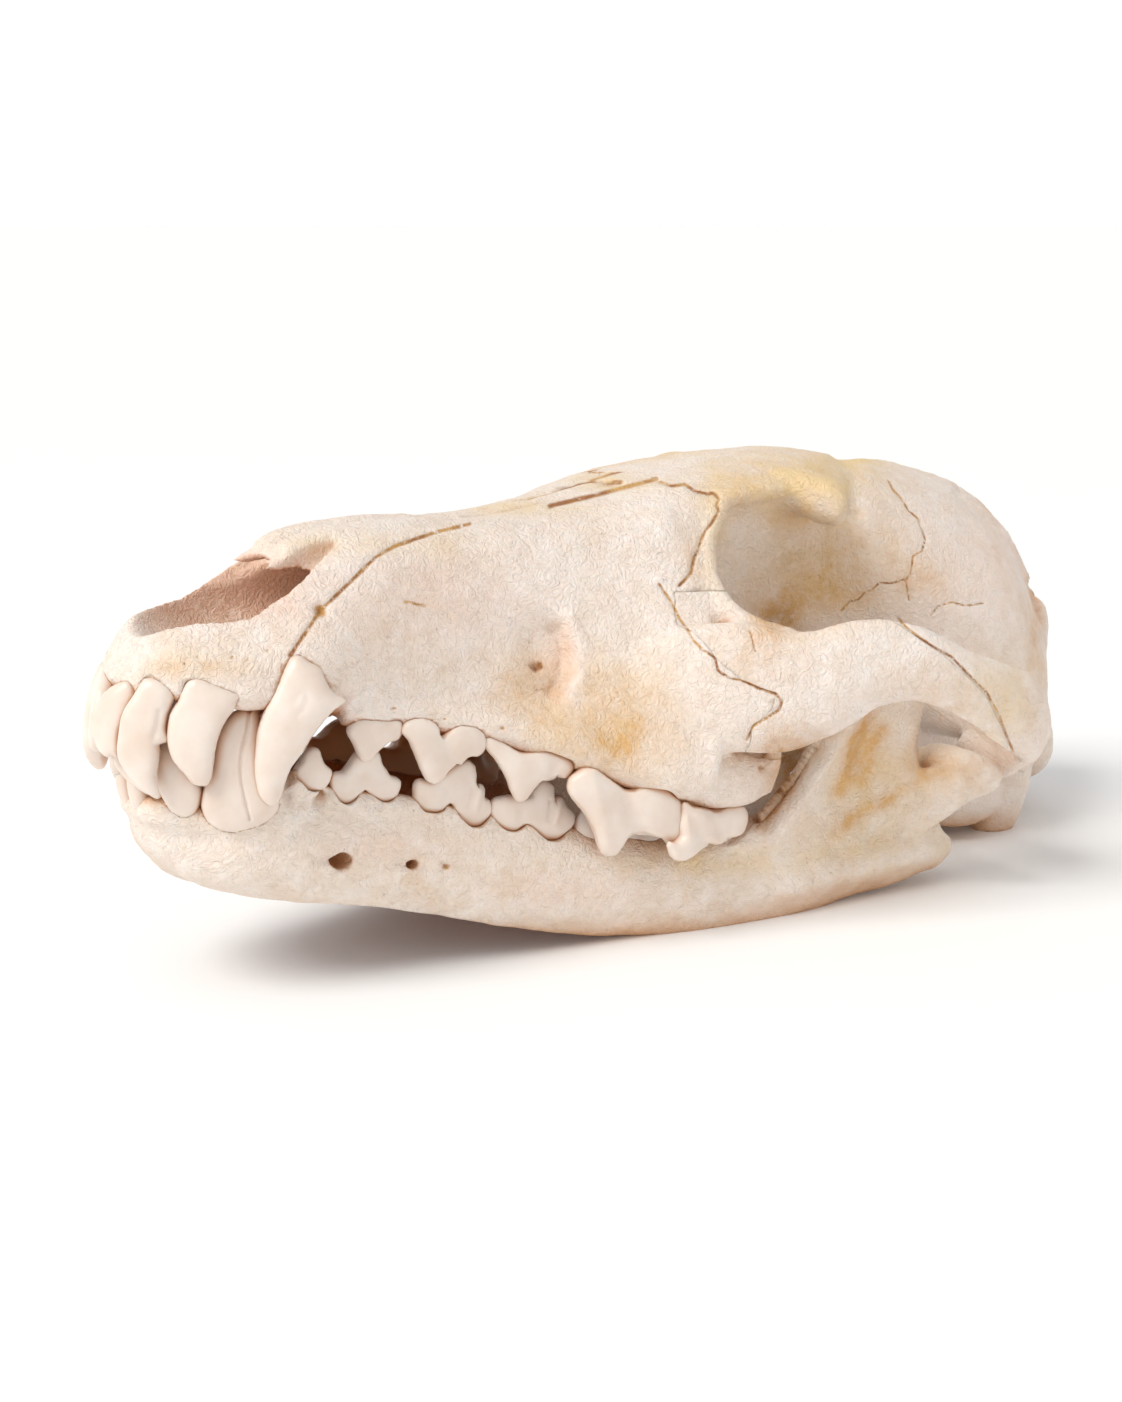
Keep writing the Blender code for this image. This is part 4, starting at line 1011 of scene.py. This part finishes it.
TOOTH_MARKS = (  # as the marks of the bone
    ("canine_crack", 0.3, 0.55, ((250, 708), (249, 716), (247, 730), (242, 749), (240, 765), (241, 780),
                                 (245, 800), (250, 820))),
    ("canine_scar", 0.8, 0.16, ((296, 700), (300, 694), (306, 692), (308, 700), (304, 710), (298, 716))),
    ("fingerlet", 1.0, -0.8, ((559, 801), (557, 810), (554, 822))),
    ("beside_fingerlet", 0.5, 0.4, ((551, 802), (550, 812), (549, 820))),
    ("fingerlet", 0.9, -0.7, ((479, 788), (477, 798), (474, 808))),
    ("beside_fingerlet", 0.5, 0.4, ((473, 788), (471, 800), (470, 808))),
    ("valley", 2.2, 0.9, ((628, 800), (634, 815), (642, 832))),
    ("valley", 1.8, 0.6, ((448, 745), (452, 757))),
    ("valley", 1.4, 0.6, ((556, 768), (554, 776))),
    ("valley", 1.6, 0.8, ((690, 812), (700, 830), (704, 842))),
    ("valley", 1.6, 0.7, ((716, 812), (722, 828), (726, 838))),
    ("ridge", 1.6, -0.5, ((592, 775), (602, 810), (607, 848))),
    ("waist", 1.4, 0.5, ((363, 786), (362, 776))),
    ("waist", 1.4, 0.5, ((446, 800), (447, 790))),
    ("waist", 1.4, 0.5, ((524, 822), (525, 812))),
    ("corner", 0.8, 0.4, ((154, 738), (158, 726), (160, 712))),
)


def smooth_loop(points, step):
    """A closed smooth curve through the points, with a point every step."""
    points = np.array(points, float)
    ring = np.vstack([points[-2:], points, points[:3]])
    far = np.r_[0, np.cumsum(np.linalg.norm(np.diff(ring, axis=0), axis=1))]
    start, end = far[2], far[2 + len(points)]
    return through(far, ring, np.linspace(start, end, int((end - start) / step), endpoint=False))


def widened(edge, by):
    """A closed outline moved outward."""
    ahead = np.roll(edge, -1, axis=0) - np.roll(edge, 1, axis=0)
    ahead /= np.linalg.norm(ahead, axis=1)[:, None]
    after = np.roll(edge, -1, axis=0)
    turning = np.sign((edge[:, 0] * after[:, 1] - after[:, 0] * edge[:, 1]).sum())
    return edge + np.column_stack([ahead[:, 1], -ahead[:, 0]]) * turning * by


def inside_of(outline, places):
    """Which places are inside a closed outline."""
    odd = np.zeros(len(places), bool)
    for (ax, ay), (bx, by) in zip(outline, np.roll(outline, -1, axis=0)):
        crosses = (ay > places[:, 1]) != (by > places[:, 1])
        with np.errstate(divide="ignore", invalid="ignore"):
            odd ^= crosses & (places[:, 0] < (bx - ax) * (places[:, 1] - ay) / (by - ay) + ax)
    return odd


def swelling(inside, step, rounds=700):
    """How a sheet over the inside cells swells: half an ellipse across each narrow part."""
    rise = np.zeros(inside.shape)
    for _ in range(rounds):
        around = np.zeros(inside.shape)
        around[1:-1, 1:-1] = rise[2:, 1:-1] + rise[:-2, 1:-1] + rise[1:-1, 2:] + rise[1:-1, :-2]
        rise = np.where(inside, (around + step**2) / 4, 0.0)
    return np.sqrt(2 * rise)


def sheet_of(row, points):
    """Points of a tooth's outline as places in space, and the way its outer face looks."""
    _, place, face, *_ = row
    face = np.array((*face, 0.0)) / np.linalg.norm(face)
    along = np.array((-face[1], face[0], 0.0))
    return np.array(place) + np.outer(points[:, 0], along) + np.outer(points[:, 1], (0, 0, 1)), face


def pillow(row, side=1):
    """A tooth with the given outline, swollen evenly from its edge to both faces."""
    *_, thick, roundness, outline = row
    step = SHEET_STEP
    edge = widened(smooth_loop(outline, step), FULLER)
    low, high = edge.min(axis=0) - step * 2, edge.max(axis=0) + step * 2
    across, tall = (np.arange(a, b, step) for a, b in zip(low, high))
    grid = np.stack(np.meshgrid(across, tall, indexing="ij"), axis=-1)
    inside = inside_of(edge, grid.reshape(-1, 2)).reshape(grid.shape[:2])
    rise = swelling(inside, step)
    rise = thick * np.tanh(roundness * rise / thick)
    gaps = np.linalg.norm(grid.reshape(-1, 1, 2) - edge[None, ::2], axis=2).min(axis=1)
    keep = inside.ravel() & (gaps > step * 0.5)
    flat = np.vstack([edge, grid.reshape(-1, 2)[keep]])
    rise = np.r_[np.zeros(len(edge)), rise.ravel()[keep]]
    loop = [(i, (i + 1) % len(edge)) for i in range(len(edge))]
    flat, _, faces, origin, _, _ = delaunay_2d_cdt([Vector(p) for p in flat], loop, [], 1, 1e-6)
    flat = np.array([tuple(p) for p in flat])
    source = np.array([min(its, default=0) for its in origin])
    on_edge = source < len(edge)
    rise = rise[source]
    level, face = sheet_of(row, flat)
    front = level + np.outer(rise, face)
    rear = level - np.outer(rise, face)
    points = np.vstack([front, rear[~on_edge]]) * (side, 1, 1)
    other = np.where(on_edge, np.arange(len(flat)), np.cumsum(~on_edge) - 1 + len(flat))
    mesh = bpy.data.meshes.new("tooth")
    mesh.from_pydata(points.tolist(), [], [*faces, *[tuple(other[list(f)][::-1].tolist()) for f in faces]])
    form = bmesh.new()
    form.from_mesh(mesh)
    bpy.data.meshes.remove(mesh)
    return finish("tooth", form)


def doorway(row, side=1):
    """A cutter with the tooth's outline, from its middle outward, that bares its outer face."""
    level, face = sheet_of(row, smooth_loop(row[-1], DOORWAY_STEP))
    return loft("doorway", [(level + face * far) * (side, 1, 1) for far in DOORWAY])


def tooth_material(name):
    """Enamel: smooth ivory, a little pink and translucent, with faint cracks down its length, and painted
    shade where it is close to bone and where it faces in between the jaws.
    """
    material, tree, shader = shader_of(name)
    place = added(tree, "ShaderNodeTexCoord").outputs["Object"]
    cloud = ramped(tree, noise_of(tree, place, 7.0, 3.0), 0.35, 0.7)
    colour = mixed(tree, cloud, linear("#ecdfd4"), linear("#e3d0c1"))
    # Painted shade where the enamel is close to bone.
    shade_near_bone = added(tree, "ShaderNodeAmbientOcclusion", {"Distance": 3.5 * MM}, samples=8).outputs["AO"]
    colour = mixed(tree, ramped(tree, shade_near_bone, 0.75, 0.2), colour, linear("#d8ab88"))
    # Painted shade on the faces that look into the mouth.
    inner_shade = added(tree, "ShaderNodeAttribute", attribute_name="facing_in_shade").outputs["Fac"]
    colour = mixed(tree, inner_shade, colour, linear("#b8855a"))
    fine = noise_of(tree, place, 1.6, 4.0)
    bump = added(tree, "ShaderNodeBump", {"Height": fine, "Strength": 0.12, "Distance": 0.15 * MM})
    fed(tree, shader, {
        "Base Color": colour,
        "Roughness": 0.28,
        "Specular IOR Level": 0.5,
        "Subsurface Weight": 0.25,
        "Subsurface Radius": (1.0, 0.65, 0.45),
        "Subsurface Scale": 1.5 * MM,
        "Normal": bump.outputs[0],
    })
    return material


def toothed(bone, plain, doors, word, material):
    """Teeth given an even soft skin, with a socket for each cut in the bone, as one piece."""
    teeth = [softened(skinned(form, TOOTH_VOXEL), TOOTH_ROUNDS) for form in plain]
    teeth = [carved(tooth, TOOTH_MARKS, seed=9) for tooth in teeth]
    sockets = []
    for tooth in teeth:
        socket = bpy.data.objects.new("socket", tooth.data.copy())
        workshop.objects.link(socket)
        sockets.append(swollen(socket, SOCKET))
    cut_by(bone, sockets)
    cut_by(bone, doors)
    made = together(word, teeth)
    points, normals = surface_of(made)
    # Painted shade on the faces that look into the mouth, kept as a point value.
    facing_in_shade = shade_between(-normals[:, 0] * np.sign(points[:, 0]), *INWARD)
    facing_in_shade *= shade_between(points[:, 1], *MOUTH_FRONT)
    layer = made.data.attributes.new("facing_in_shade", "FLOAT", "POINT")
    layer.data.foreach_set("value", facing_in_shade)
    return laid(made, word, material)


enamel = tooth_material("enamel")
for side, word in ((1, "left"), (-1, "right")):
    doors = [doorway(row, side) for row in UPPER_TEETH]
    front = [pillow(row, side) for row in UPPER_TEETH[:4]]
    rear = [pillow(row, side) for row in UPPER_TEETH[4:]]
    rear += [crown(row, -1, side) for row in UPPER_CROWNS]
    toothed(upper, front, doors[:4], f"upper_front_teeth_{word}", enamel)
    toothed(upper, rear, doors[4:], f"upper_cheek_teeth_{word}", enamel)

upper = parts_of(upper)[0]
painted(thinned(upper, MOST_FACES), UPPER_STAINS_AND_SHADE, UPPER_MARKS, seed=7)
laid(upper, "upper_skull", upper_bone, "cranium")

# The cheek bones.
# One on each side, from the front of the eye socket back along the arch, held to the skull by the
# zigzag seam in front and the slanting one behind.
CHEEK_MARKS = (
    ("arch_crack", 0.3, 0.25, ((1006, 671), (999, 682), (992, 692))),
    ("long_crack", 0.3, 0.25, ((750, 631), (753, 642), (755, 651))),
)
CHEEK_STAINS = (
    ("ochre", 0.35, (930, 690), (60, 30)),
    ("ochre", 0.25, (760, 660), (50, 30)),
)
cheek_bone = bone_material("cheek_bone", ("#f5e9e0", "#eedccd", "#f8eee7", "#dfc6ae"), seed=0.3)
for made, word, seed in ((left_cheek, "left", 11), (right_cheek, "right", 13)):
    carved(made, CHEEK_MARKS, seed)
    painted(thinned(made, MOST_CHEEK_FACES), UPPER_STAINS_AND_SHADE + CHEEK_STAINS, UPPER_MARKS + CHEEK_MARKS, seed)
    laid(made, f"cheek_bone_{word}", cheek_bone, f"zygomatic_{word}")

# The lower jaw.
# Two bones that meet at the chin, each with a body, an upright plate with a muscle hollow, and a
# rounded joint. They hold the lower teeth in sockets and rest on the floor under the molars.
JAW = (
    ((2.4, 7.6, -18.6), 2.4, 1.8),
    ((3.8, 10.8, -22.2), 4.2, 4.8),
    ((5.8, 16.2, -25.4), 7.0, 7.4),
    ((10.2, 24.6, -26.0), 9.0, 9.6),
    ((15.0, 33.5, -24.3), 6.8, 11.4),
    ((18.4, 46.0, -23.8), 5.2, 11.9),
    ((21.6, 62.0, -24.9), 5.0, 11.8),
    ((25.2, 80.0, -27.0), 5.2, 11.7),
    ((28.4, 98.0, -28.2), 5.4, 11.8),
    ((31.6, 115.0, -28.0), 5.4, 11.6),
    ((35.0, 130.0, -26.4), 5.2, 12.4),
    ((38.2, 145.0, -22.0), 5.0, 13.2),
    ((40.4, 160.0, -17.0), 4.6, 12.9),
    ((42.0, 173.0, -15.5), 4.2, 11.0),
    ((43.0, 184.0, -15.0), 3.6, 8.2),
    ((43.4, 190.5, -16.0), 2.6, 4.6),
    ((43.4, 194.5, -15.4), 1.4, 2.0),
)
PLATE = (  # z, front y, rear y, x and half thickness
    (-18.0, 128.0, 186.0, 38.5, 4.0),
    (-8.0, 137.0, 186.0, 40.5, 3.8),
    (0.0, 142.0, 182.0, 41.8, 3.4),
    (8.0, 145.0, 178.0, 42.8, 2.8),
    (15.0, 151.0, 177.0, 43.6, 2.3),
    (22.0, 162.0, 177.5, 44.2, 2.0),
    (27.0, 167.0, 178.0, 44.6, 1.8),
    (29.5, 170.5, 176.5, 44.8, 1.4),
)
CHIN_GUM = (  # the low walls of bone round the lower teeth, in front and behind
    ((-0.6, 6.6, -19.8), 2.6, 2.8),
    ((4.0, 7.4, -19.8), 3.0, 3.2),
    ((8.6, 11.4, -20.2), 3.4, 3.4),
    ((12.6, 17.6, -20.6), 3.4, 3.4),
    ((16.6, 26.0, -19.0), 3.6, 4.4),
    ((18.2, 34.0, -16.0), 3.0, 4.2),
)
JAW_GUM = (
    ((18.6, 36.0, -14.6), 2.6, 3.4),
    ((20.4, 50.0, -15.6), 2.8, 3.6),
    ((23.4, 66.0, -17.6), 2.8, 3.8),
    ((26.4, 84.0, -20.2), 2.8, 4.0),
    ((30.0, 104.0, -20.6), 3.0, 4.0),
)
KNUCKLE_NECK = (
    ((42.0, 172.0, -9.0), 3.0, 7.0),
    ((46.5, 180.0, -4.0), 3.2, 7.0),
    ((51.0, 185.4, 0.6), 3.4, 5.0),
    ((57.0, 187.6, 3.0), 3.2, 3.6),
)
CHEWING_HOLLOW = ((51.5, 160.0, -3.0), (8.5, 19.0, 17.0))
CHIN_HOLES = (  # the holes and the grooves that run forward of them: middles and reaches
    ((21.0, 40.8, -25.8), (6.5, 2.4, 1.9)),
    ((24.0, 36.4, -25.9), (2.9, 5.0, 1.6)),
    ((24.0, 56.0, -25.6), (6.5, 1.4, 1.0)),
    ((25.6, 53.0, -25.7), (1.9, 2.8, 0.8)),
)
CHIN = (  # the two bones run into one another at the chin
    ((0.0, 7.6, -20.4), 4.0, 2.6),
    ((0.0, 10.4, -23.4), 5.4, 4.6),
    ((0.0, 15.6, -26.6), 6.4, 6.8),
    ((0.0, 23.0, -28.8), 6.0, 6.8),
    ((0.0, 32.0, -28.0), 3.0, 5.4),
)
CANINE_LIP = (
    ((17.4, 22.0, -15.8), 2.6, 2.6),
    ((18.8, 27.6, -12.4), 2.4, 2.8),
    ((19.0, 30.6, -10.2), 2.0, 2.6),
    ((18.8, 34.0, -12.8), 2.0, 2.6),
)
CANINE_PIT = ((20.4, 26.6, -8.2), (3.2, 2.4, 3.2))
JAW_MARKS = (
    ("third_chin_hole", 0.6, 1.6, ((445, 867), (447, 867))),
    ("front_ridge", 1.9, -2.4, ((772, 838), (790, 812), (812, 780), (838, 742), (866, 700))),
    ("hollow_before_ridge", 3.6, 2.8, ((764, 816), (782, 786), (816, 742))),
    ("hollow_behind_ridge", 7.0, 2.2, ((838, 804), (872, 750), (888, 728))),
    ("lower_lip", 3.2, -1.4, ((790, 888), (860, 868), (925, 852))),
    ("lip_hollow", 4.0, 1.6, ((840, 848), (895, 828), (925, 800))),
    ("neck_ridge", 2.2, -1.0, ((930, 812), (960, 790), (992, 768))),
    ("pore", 0.28, 0.4, ((414, 811), (414, 811.5))),
)
JAW_STAINS_AND_SHADE = (
    # next five: in the hollows by the plate's ridge, ochre is partly stain and partly painted shade; dark
    # is painted shade
    ("ochre", 1.0, (840, 790), (850, 768), (858, 735), (872, 704)),
    ("ochre", 0.9, (862, 780), (872, 750), (882, 730)),
    ("dark", 0.16, (850, 772), (858, 738), (872, 704)),
    ("ochre", 0.7, (762, 826), (780, 800), (804, 762), (830, 728)),
    ("dark", 0.22, (764, 818), (780, 792), (800, 762)),
    ("ochre", 0.95, (836, 832), (862, 812), (888, 800)),
    ("ochre", 0.5, (885, 802), (905, 790), (925, 776)),
    ("yellow", 0.6, (880, 780), (60, 60)),
    # next three: the same in those hollows, as ovals
    ("ochre", 0.5, (858, 745), (16, 40)),
    ("ochre", 0.7, (788, 782), (16, 34)),
    ("dark", 0.25, (782, 780), (14, 30)),
    ("ochre", 0.6, (930, 765), (30, 14)),
    ("ochre", 0.6, (150, 795), (28, 9)),
    ("yellow", 0.6, (700, 862), (90, 16)),
    ("yellow", 0.6, (880, 855), (80, 24)),
    # painted shade in a tooth socket
    ("dark", 0.7, (289, 799), (6, 9)),
    ("blush", 0.35, (560, 890), (70, 20)),
    ("blush", 0.3, (380, 850), (80, 20)),
)
LOWER_TEETH = (  # as the upper ones
    ("second_incisor", (6.6, 5.4, -14.0), (0.6, -0.8), 2.4, 0.9,
     ((-8.3, 4.4), (-8.5, 2.8), (-7.2, 1.0), (-5.0, -0.5), (-2.7, -1.7), (-0.4, -2.4), (1.4, -2.9),
      (2.2, -1.5), (0.7, 1.5), (-1.4, 4.1), (-3.9, 6.6), (-7.1, 6.6))),
    ("third_incisor", (10.9, 10.6, -14.0), (0.8, -0.6), 2.9, 0.9,
     ((-6.3, 8.0), (-6.6, 4.4), (-6.3, 0.9), (-5.3, -1.3), (-3.9, -3.1), (-2.7, -4.7), (-1.2, -5.4),
      (0.2, -5.8), (1.6, -5.0), (2.4, -3.1), (2.5, -0.1), (1.3, 2.1), (-0.6, 4.4), (-2.5, 7.0),
      (-4.3, 8.7))),
    ("canine", (16.4, 19.4, -8.0), (0.85, -0.5), 4.6, 0.9,
     ((-1.6, 10.7), (-3.3, 9.9), (-4.6, 8.5), (-5.6, 7.0), (-6.1, 5.0), (-6.4, 2.0), (-6.4, -1.0),
      (-6.5, -3.0), (-7.0, -5.0), (-7.3, -7.0), (-7.3, -8.6), (-6.4, -10.9), (-4.9, -12.4),
      (-2.9, -13.2), (-0.9, -13.3), (1.5, -12.4), (3.9, -11.3), (5.8, -9.8), (7.0, -8.1), (7.2, -6.2),
      (6.6, -4.6), (5.8, -3.0), (4.6, -0.9), (3.2, 2.3), (2.2, 5.5), (1.3, 9.0), (0.9, 10.5),
      (-0.4, 11.3), (-0.8, 10.4))),
    ("first_premolar", (18.2, 30.4, 0.0), (0.99, -0.14), 2.3, 0.9,
     ((-1.4, -9.4), (0.1, -10.7), (1.7, -11.9), (3.5, -12.2), (5.1, -11.7), (6.2, -10.6), (6.5, -9.4),
      (6.8, -8.3), (6.0, -7.6), (4.8, -6.8), (3.9, -5.3), (3.3, -4.1), (2.2, -3.8), (1.0, -4.5),
      (-0.1, -6.8), (-1.1, -8.4))),
    ("second_premolar", (19.2, 38.4, 0.0), (0.994, -0.114), 2.4, 0.9,
     ((2.8, -14.4), (1.2, -14.1), (-0.1, -12.9), (-0.8, -11.0), (-1.1, -9.3), (-0.4, -8.5),
      (1.1, -8.2), (2.6, -6.3), (3.4, -4.6), (4.4, -3.6), (6.5, -3.0), (8.2, -3.7), (9.2, -5.9),
      (10.6, -7.3), (11.6, -8.4), (12.8, -8.6), (14.1, -9.3), (14.2, -10.4), (13.6, -12.0),
      (12.6, -13.1), (11.1, -13.6), (9.2, -13.1), (7.5, -11.9), (6.3, -11.4), (5.3, -12.1),
      (4.2, -13.5))),
    ("third_premolar", (21.6, 55.6, 0.0), (0.988, -0.157), 2.6, 0.9,
     ((0.1, -10.9), (-0.0, -9.9), (0.7, -8.8), (2.5, -8.7), (3.8, -8.4), (5.0, -7.3), (6.1, -6.0),
      (7.5, -4.6), (9.5, -4.1), (11.0, -4.0), (12.6, -5.1), (13.1, -6.6), (13.3, -9.1), (13.8, -9.7),
      (14.7, -9.2), (15.7, -9.8), (15.6, -11.7), (16.7, -11.8), (17.9, -13.0), (17.9, -14.7),
      (17.0, -16.0), (15.4, -17.4), (13.5, -17.5), (11.2, -16.3), (9.6, -14.7), (8.7, -13.1),
      (7.8, -13.2), (7.0, -14.3), (5.8, -15.0), (4.0, -15.1), (2.1, -14.8), (0.8, -13.4))),
    ("fourth_premolar", (24.8, 74.0, 0.0), (0.987, -0.163), 2.7, 0.9,
     ((-0.8, -12.5), (-0.2, -11.7), (1.1, -11.2), (3.4, -10.8), (5.7, -10.9), (7.6, -10.5),
      (8.2, -8.8), (9.4, -7.0), (11.2, -6.7), (12.8, -7.7), (13.0, -10.0), (13.5, -11.5),
      (14.0, -10.6), (15.3, -10.7), (16.2, -11.7), (17.3, -12.5), (18.6, -13.3), (19.1, -14.8),
      (18.7, -16.4), (17.4, -17.5), (16.2, -18.7), (14.4, -19.4), (12.7, -19.3), (10.5, -18.1),
      (9.1, -16.9), (7.9, -16.3), (6.6, -17.2), (5.1, -17.9), (3.2, -17.8), (1.1, -16.9),
      (-0.3, -15.3), (-1.0, -13.8))),
)
LOWER_INCISOR = (
    ((2.4, 9.0, -23.0), 1.6, 1.8), ((2.5, 5.0, -17.5), 2.0, 2.2), ((2.6, 3.8, -13.0), 2.2, 2.0),
    ((2.6, 3.4, -10.0), 1.4, 1.2),
)
LOWER_CROWNS = (
    ((28.0, 93.2, -17.4), (31.4, 116.0, -17.4), 3.1,
     ((0.0, 4.0), (0.2, 8.8), (0.36, 7.8), (0.52, 11.0), (0.76, 5.6), (1.0, 4.0)),
     ((0.0, -1.0), (0.25, -1.6), (0.5, 0.4), (0.75, -1.6), (1.0, -1.0))),
    ((31.8, 116.8, -17.2), (33.6, 126.2, -15.6), 2.8,
     ((0.0, 2.4), (0.3, 4.8), (0.7, 3.6), (1.0, 1.6)), ((0.0, -1.0), (1.0, -1.0))),
    ((34.2, 126.8, -15.4), (35.4, 131.8, -13.6), 2.2,
     ((0.0, 1.6), (0.4, 2.8), (1.0, 1.0)), ((0.0, -1.0), (1.0, -1.0))),
)
JAW_ROUNDS = 6
MOST_JAW_FACES = 120000
OTHER_SIDE = ((60.0, -40.0, -60.0), (80.0, 20.0))  # what the chin seam cuts away: how far it reaches


def upright(rows, side=1, sides=60, step=1.2):
    """The upright plate of the lower jaw, as flat ovals one above the other."""
    rows = np.array(rows, float)
    at = np.linspace(rows[0, 0], rows[-1, 0], int((rows[-1, 0] - rows[0, 0]) / step))
    turn = np.arange(sides) * math.tau / sides
    flat = np.sign(np.sin(turn)) * abs(np.sin(turn)) ** 0.6
    rings = []
    for z, (front, rear, x, thick) in zip(at, through(rows[:, 0], rows[:, 1:], at)):
        y = (front + rear) / 2 + np.cos(turn) * (rear - front) / 2
        rings.append(np.column_stack([(x + flat * thick) * side, y, np.full(sides, z)]))
    return loft("plate", rings)


jaw_bone = bone_material("jaw_bone", ("#f2e3d6", "#e9d4c0", "#f6ebe2", "#d8bb9d"), seed=0.6)
for side, word, seed in ((1, "left", 21), (-1, "right", 23)):
    pieces = [bar(JAW, side), upright(PLATE, side), bar(KNUCKLE, side)]
    pieces += [bar(rows, side) for rows in (KNUCKLE_NECK, CHIN_GUM, JAW_GUM, CHIN, CANINE_LIP)]
    hollows = [ball(*form, side) for form in (CHEWING_HOLLOW, CANINE_PIT, *CHIN_HOLES)]
    jaw = grown("jaw", pieces, hollows, JAW_ROUNDS)
    carved(rumpled(jaw, seed), JAW_MARKS, seed)
    (wide, *start), end = OTHER_SIDE
    low, high = sorted((GAP / 2 * side, -wide * side))
    cut_by(jaw, [floor_block(), block((low, *start), (high, *end))])
    doors = [doorway(row, side) for row in LOWER_TEETH]
    front = [pillow(row, side) for row in LOWER_TEETH[:3]] + [bar(LOWER_INCISOR, side, step=0.6)]
    rear = [pillow(row, side) for row in LOWER_TEETH[3:]]
    rear += [crown(row, 1, side) for row in LOWER_CROWNS]
    toothed(jaw, front, doors[:3], f"lower_front_teeth_{word}", enamel)
    toothed(jaw, rear, doors[3:], f"lower_cheek_teeth_{word}", enamel)
    jaw = parts_of(jaw)[0]
    painted(thinned(jaw, MOST_JAW_FACES), JAW_STAINS_AND_SHADE, JAW_MARKS, seed)
    laid(jaw, f"lower_jaw_{word}", jaw_bone, f"mandible_{word}")

# The floor and the light.
# A plain white floor under a white sky, one wide soft sun from above, and a small upright window
# lamp low in front, which gives the teeth their shine.
FLOOR_REACH = 60.0
SKY_RISE = (0.1, 0.45)  # the sky fades from its brightness near the floor to that overhead
SKY_STRENGTH = (1.03, 0.6)
SUN_TURN = (math.radians(38.0), math.radians(-14.0), math.radians(20.0))
SUN_STRENGTH = 1.65
SUN_WIDTH = math.radians(30.0)
WINDOW_PLACE = Vector((-0.12, -0.78, 0.42))
WINDOW_SIZE = (0.14, 0.32)
WINDOW_POWER = 0.9
floor = placed("floor", bpy.data.meshes.new("floor"))
plane = bmesh.new()
bmesh.ops.create_grid(plane, x_segments=1, y_segments=1, size=FLOOR_REACH)
plane.to_mesh(floor.data)
plane.free()
paper, tree, shader = shader_of("white_floor")
fed(tree, shader, {"Base Color": linear("#fcfcfc"), "Roughness": 1.0, "Specular IOR Level": 0.0})
floor.data.materials.append(paper)

sky = bpy.data.worlds.new("studio")
sky.use_nodes = True
height = added(sky.node_tree, "ShaderNodeSeparateXYZ",
               {0: added(sky.node_tree, "ShaderNodeTexCoord").outputs["Generated"]}).outputs["Z"]
lit = ramped(sky.node_tree, height, *SKY_RISE, *SKY_STRENGTH)
fed(sky.node_tree, sky.node_tree.nodes["Background"], {"Strength": lit, "Color": (1.0, 1.0, 1.0, 1.0)})
bpy.context.scene.world = sky
bpy.context.scene.view_settings.view_transform = "Standard"
lamp = placed("soft_lamp", bpy.data.lights.new("soft_lamp", "SUN"))
lamp.data.energy = SUN_STRENGTH
lamp.data.angle = SUN_WIDTH
lamp.data.color = linear("#fffdf8")[:3]
lamp.rotation_euler = SUN_TURN
window = placed("window_lamp", bpy.data.lights.new("window_lamp", "AREA"))
window.data.shape = "RECTANGLE"
window.data.size, window.data.size_y = WINDOW_SIZE
window.data.energy = WINDOW_POWER
window.matrix_world = (
    Matrix.Translation(WINDOW_PLACE) @ (-WINDOW_PLACE).to_track_quat("-Z", "Y").to_matrix().to_4x4()
)

for spare in list(workshop.objects):
    bpy.data.objects.remove(spare)
bpy.data.collections.remove(workshop)
